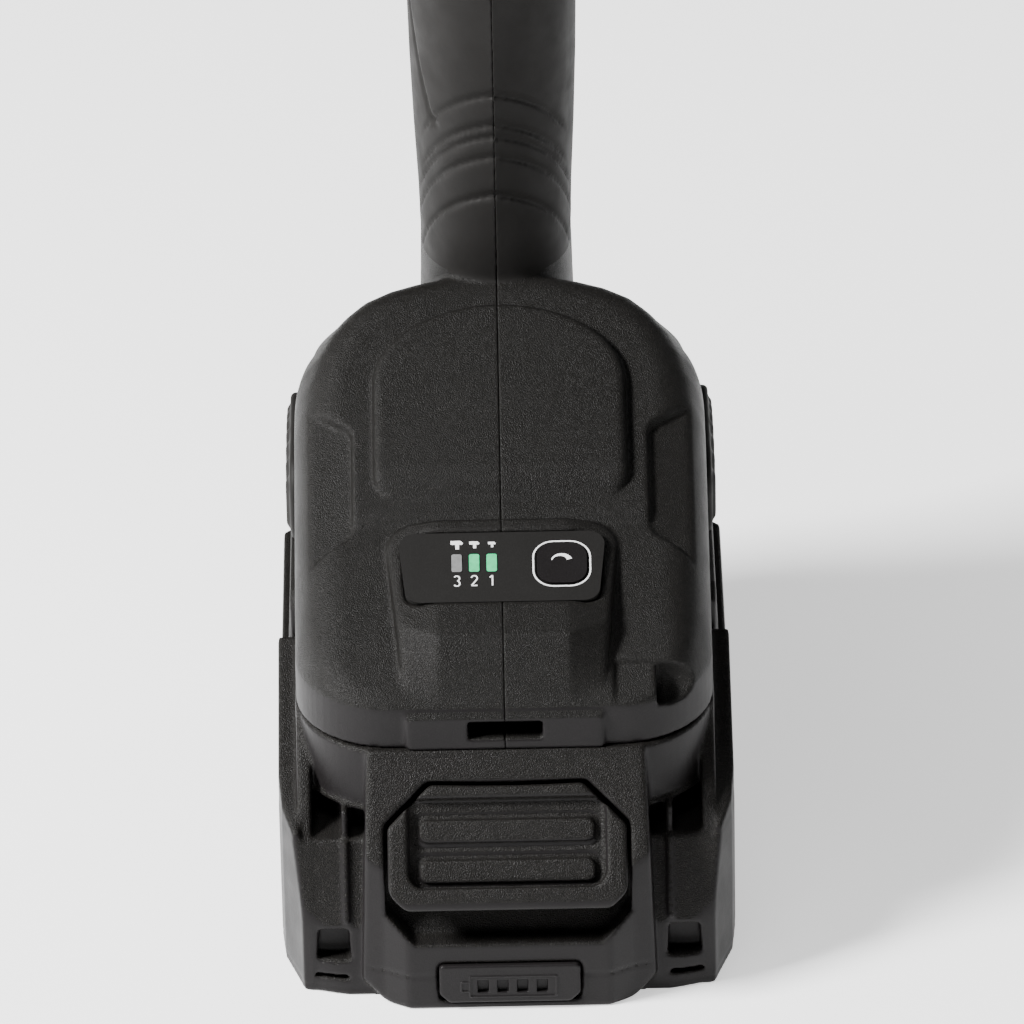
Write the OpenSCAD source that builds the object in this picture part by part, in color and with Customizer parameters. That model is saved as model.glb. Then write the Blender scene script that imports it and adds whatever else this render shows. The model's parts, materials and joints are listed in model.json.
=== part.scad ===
// Cordless impact wrench with a slide-on battery pack, standing on the pack.
// Millimetres. +Z is up, +X is to the right of someone who faces the nose,
// and the square drive points along -Y. Y is measured from the front of the
// pack inside the modules; the last section moves the origin to the middle of
// the footprint.

/* [Battery pack] */
// Width of the pack
pack_w = 84; // [82:1:86]
// Length of the pack, front to rear
pack_l = 128; // [126:1:132]
// Height of the pack up to the face that the foot sits on
pack_h = 46.5; // [46:0.5:48]
// Wall of the pack's case
pack_wall = 2.4; // [2:0.1:3]
// Radius of one cell
cell_r = 9.1; // [9:0.1:9.2]
// Length of one cell
cell_l = 65; // [64:0.5:66]

/* [Foot] */
// Half width of the foot above its lip
foot_hw = 38.2; // [38:0.1:39.5]
// Wall of the moulded housing
wall = 2.6; // [2.2:0.1:3]

/* [Handle] */
// Half width of the grip at the trigger
grip_hw = 16; // [15:0.5:17]

/* [Head] */
// Height of the drive's axis
axis_z = 240; // [238:1:244]
// Outer radius of the motor housing
motor_hr = 35; // [35:0.5:36]
// Across the flats of the square drive
drive_af = 12.7; // [12:0.1:13]
// Length of the square drive
drive_l = 18; // [16:1:20]

/* [Gears] */
// Teeth on the motor's pinion
sun_teeth = 12; // [12:6:12]
// Teeth on each planet
planet_teeth = 18; // [18:6:18]
// Gear module
gear_m = 1; // [1:0.05:1.05]

/* [Hidden] */

// -- places shared by several parts --
nose_y = -2;                    // front of the hammer case
drive_tip = nose_y - drive_l;   // tip of the square drive
rear_y = 162;                   // rear of the rear cap
lower_h = 2.2;                  // height of the pack's lower case
mid_y = (drive_tip + rear_y) / 2;
gap = 0.3;                      // clearance between the foot and the pack
foot_z = pack_h + gap;          // underside of the foot
floor_t = 2.6;                  // thickness of the foot's floor
slope_tilt = 57;                // tilt of the pack's front slope
slope_z = 24.6;                 // where that slope starts
slope_top_y = (pack_h - slope_z) / tan(slope_tilt);
panel_tilt = 20;                // tilt of the control panel
dome_tilt = 27.6;               // tilt of the dome's top
beak_y = slope_top_y;           // front of the beak
panel_y = 22;                   // where the panel's plane starts
panel_z = 66.3;
dome_y = 48.4;                  // where the dome's plane starts
dome_tail_y = 138;              // rear end of the dome
roof_slope = 1.3;               // fall of the band round the dome's top
dome_z = 74.2;
skirt_y = 57;                   // front end of the side skirts
skirt_in = 37.6;                // inner face of the side skirts
skirt_out = 39.6;               // outer face of the side skirts
skirt_z = 30.4;                 // lower edge of the side skirts
rail_z = 39.2;                  // underside of the foot's rails
rail_h = 3.6;
rail_in = 34.2;
latch_y = 20;                   // front face of the latch hook
latch_hw = 8;                   // half width of the latch hook
head_y0 = 76;                   // front of the motor housing
head_y1 = 150;                  // rear of the motor housing
trigger_z = 183;                // middle of the trigger
lever_y = 90;                   // middle of the direction lever
lever_z = 206;
sun_r = sun_teeth * gear_m / 2;
planet_r = planet_teeth * gear_m / 2;
ring_teeth = sun_teeth + 2 * planet_teeth;
ring_r = ring_teeth * gear_m / 2;
orbit_r = sun_r + planet_r;
gear_y0 = 67;                   // front face of the gears
gear_w = 9;                     // face width of the gears
pressure = 25;                  // pressure angle
// Where the housing's screws are: [y, z, length of the right half's spacer]
screw_places = [[24.5, 57, 21], [124, 58, 26], [120, 78, 16], [112, 203.9, 8],
    [83.4, 203.6, 8], [92, 274.4, 5], [138, 274.4, 5]];
screw_r = 1.5;
screw_head_r = 3.1;

// -- plain helpers --

// Puts a shape that is drawn along +Z on the drive's axis, pointing along +Y from y
module on_axis(y) {
    translate([0, y, axis_z]) rotate([-90, 0, 0]) children();
}

// A cylinder on the drive's axis, from y0 to y1
module axis_rod(y0, y1, r, fn = 64) {
    on_axis(y0) cylinder(h = y1 - y0, r = r, $fn = fn);
}

// A tube on the drive's axis
module axis_tube(y0, y1, r_out, r_in, fn = 64) {
    difference() {
        axis_rod(y0, y1, r_out, fn);
        axis_rod(y0 - 1, y1 + 1, r_in, fn);
    }
}

// Extrudes a side view, drawn as [y, z], across x0 to x1
module side_prism(x0, x1) {
    translate([x0, 0, 0]) rotate([90, 0, 90]) linear_extrude(height = x1 - x0) children();
}

// Extrudes a front view, drawn as [x, z], from y0 to y1
module front_prism(y0, y1) {
    translate([0, y1, 0]) rotate([90, 0, 0]) linear_extrude(height = y1 - y0) children();
}

// Moves into the frame of a plane that starts at [y, z] and rises at tilt degrees
module on_plane(y, z, tilt) {
    translate([0, y, z]) rotate([tilt, 0, 0]) children();
}

module rounded_rect(w, h, r) {
    offset(r = r, $fn = 32) square([w - 2 * r, h - 2 * r], center = true);
}

// A row of children along x, mirrored left and right
module both_sides() {
    children();
    mirror([1, 0, 0]) children();
}

// One superellipse ring, centred on [0, yc], at height z
function ring_points(z, yc, hw, hd, power = 2.4, count = 28) =
    [for (i = [0:count - 1])
        let (a = 360 * i / count, c = cos(a), s = sin(a))
        [hw * sign(c) * pow(abs(c), 2 / power), yc + hd * sign(s) * pow(abs(s), 2 / power), z]];

// A closed solid through rings of equal point count, from the lowest to the highest
module loft(rings) {
    n = len(rings[0]);
    m = len(rings);
    sides = [for (j = [0:m - 2]) for (i = [0:n - 1])
        let (a = j * n + i, b = j * n + (i + 1) % n)
        each [[a, a + n, b + n], [a, b + n, b]]];
    bottom = [for (i = [0:n - 1]) i];
    top = [for (i = [n - 1:-1:0]) (m - 1) * n + i];
    polyhedron(points = [for (r = rings) each r], faces = concat(sides, [bottom, top]), convexity = 6);
}

// -- gears --

function involute(a) = tan(a) * 180 / PI - a;

// Half the angle of a tooth at radius r, with play taken off in degrees
function half_tooth(teeth, r, play) =
    let (base = teeth * gear_m / 2 * cos(pressure), a = r > base ? acos(base / r) : 0)
    90 / teeth + involute(pressure) - involute(a) - play;

// Outline of a gear from its root radius to its tip radius, a tooth centred on +X
module gear_outline(teeth, root, tip, play) {
    steps = 4;
    pitch = 360 / teeth;
    radii = [for (k = [0:steps]) root + (tip - root) * k / steps];
    polygon([for (t = [0:teeth - 1]) each concat(
        [for (r = radii) let (a = t * pitch - half_tooth(teeth, r, play)) r * [cos(a), sin(a)]],
        [for (k = [steps:-1:0]) let (r = radii[k], a = t * pitch + half_tooth(teeth, r, play))
            r * [cos(a), sin(a)]])]);
}

// -- battery pack --

// Outline of the pack seen from above, taken in by inset
module pack_plan(inset = 0) {
    hw = pack_w / 2;
    right = [[18.2, 0], [23, 2.8], [37.7, 7.5], [hw - 0.7, 18.6], [hw, 26], [hw, pack_l - 5],
        [hw - 5, pack_l]];
    offset(delta = -inset)
        polygon(concat(right, [for (i = [len(right) - 1:-1:0]) [-right[i][0], right[i][1]]]));
}

module battery_lower_case() color("#1b1a1b") {
    difference() {
        union() {
            linear_extrude(height = lower_h) pack_plan();
            linear_extrude(height = lower_h + 2.6) pack_plan(2.5);
        }
        translate([0, 0, lower_h]) linear_extrude(height = 4) pack_plan(4.5);
        pack_screw_places() {
            translate([0, 0, -1]) cylinder(h = 6, r = 1.7, $fn = 32);
            translate([0, 0, -1]) cylinder(h = 2.4, r = 3.2, $fn = 32);
            translate([0, 0, lower_h]) cylinder(h = 6, r = 3.8, $fn = 32);
        }
        translate([-13.4, -1, 1.4]) cube([26.8, 6, 4]);
    }
}

module pack_screw_places() {
    for (side = [-1, 1], p = [[32.6, 11.4], [34.6, pack_l - 8]])
        translate([side * p[0], p[1], 0]) children();
}

module battery_screws() color("#8d8f92") pack_screw_places() {
    difference() {
        translate([0, 0, 0.2]) cylinder(h = 1.2, r = 2.9, $fn = 40);
        cylinder(h = 1, r = 1.4, $fn = 6);
    }
    translate([0, 0, 1.2]) cylinder(h = 10, r = 1.4, $fn = 32);
}

// Side view of the middle block, with the slope that carries the latch button
module pack_block_view(inset = 0) {
    offset(delta = -inset) polygon([[0, lower_h - inset], [0, slope_z], [slope_top_y, pack_h],
        [pack_l, pack_h], [pack_l, lower_h - inset]]);
}

// Side view of the parts of the pack beside that block
module pack_cheek_view(inset = 0) {
    offset(delta = -inset) polygon([[6, lower_h - inset], [7.3, 13.7], [13, 29], [18, 34.6],
        [18, pack_h], [pack_l, pack_h], [pack_l, lower_h - inset]]);
}

// Octagon of the latch button and of its opening, in the slope's frame
module latch_octagon(hw, low, high, cut) {
    polygon([[-hw, low + 3], [-hw + 3, low], [hw - 3, low], [hw, low + 3], [hw, high - cut],
        [hw - cut, high], [-hw + cut, high], [-hw, high - cut]]);
}

module pack_body(inset) {
    intersection() {
        translate([0, 0, lower_h - inset]) linear_extrude(height = 60) pack_plan(inset);
        union() {
            side_prism(-26.4 + inset, 26.4 - inset) pack_block_view(inset);
            side_prism(-pack_w / 2 + inset, pack_w / 2 - inset) pack_cheek_view(inset);
        }
    }
}

// What the pack leaves free at each side: the sloped ledge, the skirt's channel and the rail's groove
module pack_side_channel() {
    side_prism(37.3, pack_w)
        polygon([[-1, 27.7 - 9 * tan(21.8)], [skirt_y - 1, 27.7 + 48 * tan(21.8)],
            [skirt_y - 1, skirt_z - gap], [pack_l + 1, skirt_z - gap], [pack_l + 1, 60], [-1, 60]]);
    translate([rail_in - gap, skirt_y - 1, rail_z - gap]) cube([10, pack_l, rail_h + 2 * gap]);
}

module battery_upper_case() color("#1f1e1f") difference() {
    pack_body(0);
    difference() {
        intersection() {
            pack_body(pack_wall);
            translate([-36, 0, 0]) cube([72, pack_l, pack_h - pack_wall]);
        }
        both_sides() translate([32.9, skirt_y - 3, 36.5]) cube([10, pack_l, 20]);
        pack_screw_places() cylinder(h = 14, r = 3.2, $fn = 40);
        translate([0, pack_l - 34, 38.6]) translate([-24, 0, 0]) cube([48, 40, 20]);
    }
    difference() {
        translate([0, 0, lower_h - 0.02]) linear_extrude(height = 2.9) pack_plan(2.4);
        pack_screw_places() cylinder(h = 14, r = 3.2, $fn = 40);
    }
    both_sides() pack_side_channel();
    on_plane(0, slope_z, slope_tilt) translate([0, 0, -9.4])
        linear_extrude(height = 30) latch_octagon(22.6, -9.5, 21.5, 7.5);
    translate([-latch_hw - 0.5, latch_y - 4.6, pack_h - 8]) cube([2 * latch_hw + 1, 9.3, 20]);
    translate([-20.4, pack_l - 28.4, 40.8]) cube([40.8, 40, 20]);
    translate([-13.4, -1, 1.4]) cube([26.8, 2.6, 8.5]);
    for (x = [-16, -8, 0, 8, 16]) translate([x - 1.9, 93, 40.4]) cube([3.8, 8, 3.7]);
    pack_screw_places() translate([0, 0, -1]) cylinder(h = 13, r = 1.5, $fn = 32);
}

// The cells lie across the pack in two rows, the upper row half a pitch further back
module cell_places() {
    pitch = 18.8;
    for (row = [0, 1], i = [0:4])
        translate([0, 24.4 + pitch * (i + row / 2), 13 + row * 16.4]) rotate([0, 90, 0]) children();
}

module battery_cells() color("#3f6d8c") cell_places() {
    cylinder(h = cell_l, r = cell_r, center = true, $fn = 64);
}

// A frame that holds one end of every cell
module cell_holder(x) {
    difference() {
        side_prism(x - 2, x + 2)
            polygon([[13.6, 3.7], [13.6, 20], [22, 34], [22, 38.3], [120, 38.3], [120, 3.7]]);
        cell_places() cylinder(h = 90, r = cell_r + 0.1, center = true, $fn = 64);
    }
}
module cell_holder_left() color("#2c2f33") cell_holder(-27);
module cell_holder_right() color("#2c2f33") cell_holder(27);

// Nickel strips that join each lower cell to the upper cell behind it
module bus_strips() color("#c9c9c4") both_sides() for (i = [0:4]) hull() {
    for (row = [0, 1]) translate([cell_l / 2 + 0.05, 24.4 + 18.8 * (i + row / 2), 13 + row * 16.4])
        rotate([0, 90, 0]) cylinder(h = 0.3, r = 4.5, $fn = 24);
}

module battery_board() color("#1d5c3a")
    translate([-22, 30, 39.2]) cube([44, 63, 1.4]);

module battery_terminals() color("#c39a3a") for (x = [-16, -8, 0, 8, 16]) difference() {
    translate([x - 1.6, 88, 40.7]) cube([3.2, 10.6, 3.1]);
    translate([x - 0.45, 90, 40.5]) cube([0.9, 12, 5]);
}

// The button slides down the slope and carries the hook that holds the foot
module latch_button() color("#232223") {
    difference() {
        intersection() {
            on_plane(0, slope_z, slope_tilt) translate([0, 0, -8.6])
                linear_extrude(height = 9.2) latch_octagon(21.9, -6, 19.7, 7);
            side_prism(-30, 30) polygon([[-1.4, 21.9], [-1.4, 26.5], [20, 55], [30, 30], [6, 21.9]]);
        }
        on_plane(0, slope_z, slope_tilt) translate([0, 9.2, -1.2])
            linear_extrude(height = 4) rounded_rect(34.6, 15, 2.5);
        on_plane(0, slope_z, slope_tilt) translate([-15, -3, -10]) cube([30, 16, 6.5]);
    }
    on_plane(0, slope_z, slope_tilt) for (u = [4.3, 11.6]) translate([0, u, -1.3])
        linear_extrude(height = 0.7) rounded_rect(32, 4.4, 1.2);
    side_prism(-latch_hw, latch_hw) polygon([[13.5, 33.2], [latch_y, 37.2], [latch_y, 50.4],
        [latch_y + 1.6, 50.4], [latch_y + 4, 47.8], [latch_y + 4, 33.2]]);
}

module latch_springs() color("#b9bcc0")
    for (x = [-9, 9]) on_plane(0, slope_z, slope_tilt) translate([x, -1.9, -5.8])
        rotate([-90, 0, 0]) difference() {
            cylinder(h = 14.4, r = 1.6, $fn = 32);
            translate([0, 0, -1]) cylinder(h = 17, r = 1.1, $fn = 32);
        }

module gauge_button() color("#201f20") difference() {
    front_prism(-0.6, 1) polygon([[-13, 3.2], [-11.4, 1.6], [11.4, 1.6], [13, 3.2], [13, 8.6],
        [12, 9.6], [-12, 9.6], [-13, 8.6]]);
    front_prism(-2, -0.2) translate([0.3, 5.5]) square([16.6, 4.4], center = true);
}

// -- housing --

// The dome seen from the side, below its roof
module dome_view(inset = 0) {
    offset(delta = -inset) polygon([[17, foot_z], [17, 54.7], [28.6, dome_z - 19.8 * tan(panel_tilt)],
        [dome_y, dome_z], [dome_y, 120], [dome_tail_y, 120], [dome_tail_y, foot_z]]);
}

// The foot seen from above
module foot_plan(inset = 0) {
    right = [[18, 13.9], [27, 14.8], [31.5, 17], [35, 21], [37, 26], [foot_hw, 36], [foot_hw, 104],
        [36, 122], [30, 133], [20, 138]];
    offset(delta = -inset)
        polygon(concat(right, [for (i = [len(right) - 1:-1:0]) [-right[i][0], right[i][1]]]));
}

// The outline of the dome's tilted top, seen from above
module roof_plan(inset = 0) {
    right = [[33, 0], [33, 74], [32.4, 79], [31.2, 83.2], [29, 87.2], [26, 90.7], [23, 93],
        [19, 94.8], [14.3, 96.1], [8, 97.2]];
    offset(delta = -inset)
        polygon(concat(right, [for (i = [len(right) - 1:-1:0]) [-right[i][0], right[i][1]]]));
}

// The same outline with a tail under the grip, for the steep part of the band
module tail_plan(inset = 0) {
    right = [[33, 0], [33, 74], [32.4, 79], [31.2, 83.2], [29, 87.2], [26, 90.7], [22.5, 95],
        [20.5, 101], [18, 112], [14, 124], [8, 131]];
    offset(delta = -inset)
        polygon(concat(right, [for (i = [len(right) - 1:-1:0]) [-right[i][0], right[i][1]]]));
}

// A tilted top and a band that falls from its outline, which is given as the child
module band(slope, start, inset) {
    rise = tan(dome_tilt);
    fall = 44;
    multmatrix([[1, 0, 0, 0], [0, 1, 0, 0], [0, rise, 1, dome_z - dome_y * rise - 1.13 * inset], [0, 0, 0, 1]])
        hull() {
            translate([0, 0, -0.01]) linear_extrude(height = 0.01) offset(delta = start) children();
            translate([0, 0, -fall]) linear_extrude(height = 0.01)
                offset(delta = start + fall / slope) children();
        }
}

// The top with the band that rolls over its edge down to the sides and the rear
module dome_roof(inset = 0) {
    intersection() {
        band(roof_slope, 0, inset) roof_plan(0.4 * inset);
        band(2 * roof_slope, 3.5, inset) tail_plan(0.7 * inset);
    }
}

module dome(inset = 0) {
    intersection() {
        side_prism(-50, 50) dome_view(inset);
        translate([0, 0, foot_z]) linear_extrude(height = 80) foot_plan(inset);
        dome_roof(inset);
    }
}

// The block under the control panel, which runs down to the lip
module beak(inset = 0) {
    intersection() {
        side_prism(-21.6, 21.6) offset(delta = -inset) polygon([[beak_y, foot_z],
            [beak_y, 52.9], [panel_y, panel_z], [dome_y + 2, 76.6], [70, 70], [70, foot_z]]);
        translate([0, 0, foot_z]) linear_extrude(height = 80) offset(delta = -inset)
            polygon([[-18.4, 10], [18.4, 10], [21.6, 44], [17, 51], [-17, 51], [-21.6, 44]]);
    }
}

// The raised pad on top of the dome
module dome_pad() {
    on_plane(dome_y, dome_z, dome_tilt) translate([0, 26, -3])
        linear_extrude(height = 4.6) intersection() {
            rounded_rect(47, 41, 6);
            translate([0, -6]) circle(r = 27.5, $fn = 48);
        }
}

// Side skirts with the rails that the pack slides on
module skirts() both_sides() {
    translate([skirt_in, skirt_y, skirt_z]) cube([skirt_out - skirt_in, 138 - skirt_y - 6, 24]);
    translate([rail_in, skirt_y + 2, rail_z]) cube([6, 68, rail_h]);
}

// Rings of the grip, from inside the dome to inside the head: [z, middle y, half width, half depth]
grip_rings = [[62, 117.6, 15, 18.6], [101, 114.4, 14.1, 18.2], [112, 112.8, 14.3, 18.2],
    [126, 110.8, 14.9, 18.6], [142, 108.6, 15.4, 19], [160, 106, grip_hw - 0.3, 19.5],
    [178, 103.5, grip_hw, 20], [196, 101, grip_hw + 0.2, 21], [214, 99, grip_hw + 1, 23]];

module grip_core(inset, from = 0) {
    loft([for (i = [from:len(grip_rings) - 1]) let (r = grip_rings[i])
        ring_points(r[0], r[1], r[2] - inset, r[3] - inset)]);
}

module head_shell() {
    axis_rod(head_y0, head_y1, motor_hr, 56);
    side_prism(-15, 15) polygon([[head_y0, 198], [124, 198], [130, 204], [130, 240], [head_y0, 240]]);
    side_prism(-9, 9) polygon([[head_y0 + 6, 270], [head_y0 + 12, 278.5], [head_y1 - 10, 278.5],
        [head_y1 - 2, 270], [head_y1 - 2, 240], [head_y0 + 6, 240]]);
    on_axis(head_y0) case_screw_angles() cylinder(h = 14, r = 4.3, $fn = 40);
}

module housing_outside() {
    dome();
    beak();
    dome_pad();
    skirts();
    grip_core(0);
    head_shell();
}

module screw_bosses() for (p = screw_places)
    translate([0, p[0], p[1]]) rotate([0, 90, 0]) cylinder(h = 84, r = 4.6, center = true, $fn = 24);

module housing_cavity() {
    difference() {
        union() {
            intersection() {
                dome(wall);
                translate([-60, 0, foot_z + floor_t]) cube([120, 150, 90]);
            }
            intersection() {
                beak(wall);
                translate([-60, 0, foot_z + floor_t]) cube([120, 150, 90]);
            }
            grip_core(wall);
            translate([-12, 84, 190]) cube([24, 30, 20]);
            translate([-7, 100, 198.6]) cube([14, 21.5, 12]);
        }
        screw_bosses();
    }
    axis_rod(head_y0 - 1, 80, 33.2, 56);
    axis_rod(79, 90.2, 30.6, 56);
    axis_rod(90, head_y1 + 1, 31, 56);
}

// Openings that the moving parts, the panel, the pack and the air need
module housing_openings() {
    translate([-7.4, 60, trigger_z - 15]) cube([14.8, 40, 30]);
    translate([-30, lever_y - 3.4, lever_z - 3.2]) cube([60, 6.8, 6.4]);
    panel_frame() translate([0, 0, -2.4]) linear_extrude(height = 8) panel_outline(0.25);
    panel_frame() translate([0, 0, -7]) linear_extrude(height = 8) panel_outline(-3);
    translate([-6.8, 10, 48.9]) cube([13.6, 12, 3.3]);
    side_prism(-latch_hw - 1, latch_hw + 1)
        polygon([[latch_y - 0.6 - 5 / tan(slope_tilt), foot_z - 1], [latch_y - 0.6, foot_z + 4],
            [latch_y - 0.6, foot_z + 5.6], [latch_y + 7, foot_z + 5.6], [latch_y + 7, foot_z - 1]]);
    translate([-18.6, pack_l - 26, foot_z - 1]) cube([37.2, 25.4, 6]);
    translate([0, head_y0 - 1, lever_z - 3]) rotate([-90, 0, 0]) cylinder(h = 6, r = 3.2, $fn = 32);
    both_sides() for (i = [0:4])
        translate([24, 129 + i * 4, axis_z]) rotate([0, 90, 0]) rotate([0, 0, 90])
            linear_extrude(height = 20) rounded_rect(2, 22, 0.9);
    difference() {
        both_sides() translate([0, 0, 62]) linear_extrude(height = 40)
            polygon([[27.3, 48.4], [27.3, 66.8], [34, 71.6], [45, 76], [45, 38], [34, 43.4]]);
        dome(1.2);
    }
    on_axis(head_y0 - 1) case_screw_angles() cylinder(h = 12, r = 2.03, $fn = 32);
    on_axis(head_y1 - 9) rear_screw_angles() cylinder(h = 12, r = 1.22, $fn = 24);
    for (p = screw_places) translate([0, p[0], p[1]]) rotate([0, 90, 0]) {
        cylinder(h = 90, r = screw_r + 0.05, center = true, $fn = 20);
        translate([0, 0, p[2]]) cylinder(h = 60, r = screw_head_r + 0.2, $fn = 24);
    }
}

module housing_shell() difference() {
    housing_outside();
    housing_cavity();
    housing_openings();
    for (s = [-1, 1]) bumper_seat(s);
    grip_seat();
}

module housing_right() color("#1c1b1c") intersection() {
    housing_shell();
    translate([0, 0, 0]) cube([80, 200, 300]);
}

module housing_left() color("#1c1b1c") intersection() {
    housing_shell();
    translate([-80, 0, 0]) cube([80, 200, 300]);
}

module housing_screws() color("#55585c") for (p = screw_places)
    translate([0, p[0], p[1]]) rotate([0, 90, 0]) {
        translate([0, 0, -11]) cylinder(h = p[2] + 11, r = screw_r, $fn = 32);
        translate([0, 0, p[2]]) difference() {
            cylinder(h = 2.4, r = screw_head_r, $fn = 40);
            translate([0, 0, 1]) cylinder(h = 3, r = 1.5, $fn = 6);
        }
    }

// Rubber pads that keep the foot's sides off the ground
module bumper_outline(grow = 0) {
    offset(r = 7 + grow, $fn = 32) square([21.2, 3.6], center = true);
}
module bumper_seat(s) {
    scale([s, 1, 1]) translate([37.5, 93, 62]) rotate([90, 0, 90])
        linear_extrude(height = 10) bumper_outline(0.1);
}
module side_bumper(s) {
    mirror([s < 0 ? 1 : 0, 0, 0]) {
        translate([37.6, 93, 62]) rotate([90, 0, 90]) linear_extrude(height = 1.8) bumper_outline();
        for (i = [-3:3]) translate([39.2, 93 + i * 4.6, 62]) rotate([90, 0, 90])
            linear_extrude(height = 0.9) rounded_rect(3, 14.4 - 0.5 * i * i, 1.4);
    }
}
module side_bumper_left() color("#121212") side_bumper(-1);
module side_bumper_right() color("#121212") side_bumper(1);

// Soft skins over the grip, one on each half, open along the finger side
module grip_skin(extra) {
    difference() {
        loft([for (i = [1:7]) let (r = grip_rings[i], z = i == 1 ? 104 : i == 7 ? 194 : r[0])
            ring_points(z, r[1], r[2] + 0.2 + extra, r[3] + 0.2 + extra)]);
        grip_core(1.1);
        for (p = screw_places)
            translate([0, p[0], p[1]]) rotate([0, 90, 0]) cylinder(h = 60, r = 3.4, $fn = 24);
        translate([-8, 60, 168]) cube([16, 32, 40]);
        side_prism(-30, 30) polygon([[60, 90], [94, 90], [84, 168], [74, 210], [60, 210]]);
    }
}
module grip_seat() grip_skin(0.1);
module grip_left() color("#161616") intersection() {
    grip_skin(0);
    translate([-40, 0, 0]) cube([39.95, 200, 300]);
}
module grip_right() color("#161616") intersection() {
    grip_skin(0);
    translate([0.05, 0, 0]) cube([39.95, 200, 300]);
}

// -- control panel --

module panel_frame() on_plane(panel_y, panel_z, panel_tilt) translate([0, 16.4, 0]) children();

module panel_outline(grow = 0) {
    offset(r = 3 + grow, $fn = 32) polygon([[-14.8, -5.2], [14.8, -5.2], [15.8, 5.2], [-15.8, 5.2]]);
}

module control_panel() color("#0e0e0f") panel_frame() difference() {
    translate([0, 0, -2.2]) linear_extrude(height = 1.8) panel_outline();
    translate([10.9, 0.5, -3]) linear_extrude(height = 5) rounded_rect(9.6, 9.8, 3.4);
    for (i = [0:2]) translate([-8.3 + i * 3.2, 1, -3])
        linear_extrude(height = 5) rounded_rect(2.1, 4.3, 0.4);
}

module level_lights() color("#35c46a") panel_frame() for (i = [0:2])
    translate([-8.3 + i * 3.2, 1, -2.2]) linear_extrude(height = 1.8) rounded_rect(2, 4.2, 0.4);

module mode_button() color("#131314") panel_frame() {
    translate([10.9, 0.5, -1.8]) linear_extrude(height = 1.7) rounded_rect(9.2, 9.4, 3.2);
    translate([10.9, 0.5, -3.4]) cylinder(h = 2, r = 1.6, $fn = 32);
}

// -- electronics --

module controller_tray() color("#9a9da1") difference() {
    translate([-27, 39, foot_z + floor_t + 0.1]) cube([54, 60, 9]);
    translate([-25.4, 40.6, foot_z + floor_t + 1.8]) cube([50.8, 56.8, 20]);
}

module controller_board() color("#1d5c3a") {
    translate([-25, 41, foot_z + floor_t + 2]) cube([50, 56, 1.6]);
    for (x = [-15, -5, 5, 15]) translate([x - 3, 82, foot_z + floor_t + 3.4]) cube([6, 9, 2.4]);
    for (x = [-14, 0, 14]) translate([x, 66, foot_z + floor_t + 3.4]) cylinder(h = 9, r = 4.6, $fn = 40);
}

module terminal_block() color("#2a2a2c") {
    difference() {
        translate([-18, pack_l - 25.4, 41.2]) cube([36, 24, 10.4]);
        translate([-15, pack_l - 20, 48]) cube([30, 14, 6]);
    }
    difference() {
        translate([-21, pack_l - 27.4, foot_z + floor_t + 0.05]) cube([42, 28, 2]);
        translate([-16, pack_l - 22, 40]) cube([32, 18, 20]);
    }
    for (x = [-16, -8, 0, 8, 16]) translate([x - 0.35, pack_l - 36, 41.4]) cube([0.7, 12, 2.2]);
}

module trigger_switch() color("#26282b") {
    translate([-8.4, 95.4, 168]) cube([16.8, 19, 29]);
    translate([-2, 92.4, trigger_z - 2]) cube([4, 4, 4]);
}

module trigger() color("#1a1a1b") difference() {
    side_prism(-6.9, 6.9) polygon([[84, trigger_z + 13.4], [74, trigger_z + 12.4],
        [71.6, trigger_z + 8], [73.8, trigger_z], [73.4, trigger_z - 7],
        [75.6, trigger_z - 13], [86, trigger_z - 13.4]]);
    translate([-4.6, 77, trigger_z - 9]) cube([9.2, 12, 18]);
}

module trigger_spring() color("#b9bcc0") translate([0, 77.2, trigger_z]) rotate([-90, 0, 0])
    difference() {
        cylinder(h = 15, r = 3.4, $fn = 32);
        translate([0, 0, -1]) cylinder(h = 20, r = 2.7, $fn = 32);
    }

// A bar that is pushed through the housing from either side
module direction_lever() color("#242425") {
    translate([-21.5, lever_y - 3, lever_z - 2.8]) cube([43, 6, 5.6]);
    translate([-1.6, lever_y + 2.8, lever_z - 1.6]) cube([3.2, 3.6, 3.2]);
}

module work_light() color("#dfe6ea") translate([0, head_y0 - 0.8, lever_z - 3])
    rotate([-90, 0, 0]) cylinder(h = 5, r = 3.1, $fn = 40);

module motor_wires() for (w = [[-5, "#b22a24"], [0, "#d9b63a"], [5, "#2f5fb0"]]) color(w[1])
    loft([for (s = [[56, 104], [80, 117], [110, 118.5], [150, 116.5], [190, 116.9], [194.5, 117],
        [197, 118.2], [202, 119.2]])
        ring_points(s[0] + 5, s[1], 1.3, 1.3, 2, 10) + [for (i = [1:10]) [w[0], 0, 0]]]);

// -- head --

module rear_cap() color("#1c1b1c") difference() {
    union() {
        on_axis(0) rotate_extrude($fn = 96)
            polygon([[0, rear_y - 2.6], [0, rear_y], [24, rear_y], [31, rear_y - 4], [motor_hr, head_y1 + 2],
                [motor_hr, head_y1 + 0.1], [29.6, head_y1 + 0.1], [29.6, rear_y - 7], [22, rear_y - 2.6]]);
        axis_tube(139.6, rear_y - 2, 10.4, 8.02);
    }
    for (a = [0:30:330]) on_axis(rear_y - 4) rotate([0, 0, a]) translate([10, -1.1, 0]) cube([10, 2.2, 8]);
    on_axis(head_y1) rear_screw_angles() {
        translate([0, 0, 4.6]) cylinder(h = 20, r = 1.9, $fn = 32);
        translate([0, 0, -1]) cylinder(h = 10, r = 1.22, $fn = 24);
    }
}

module rear_screw_angles() for (a = [45:90:315]) rotate([0, 0, a]) translate([32.4, 0, 0]) children();

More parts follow.
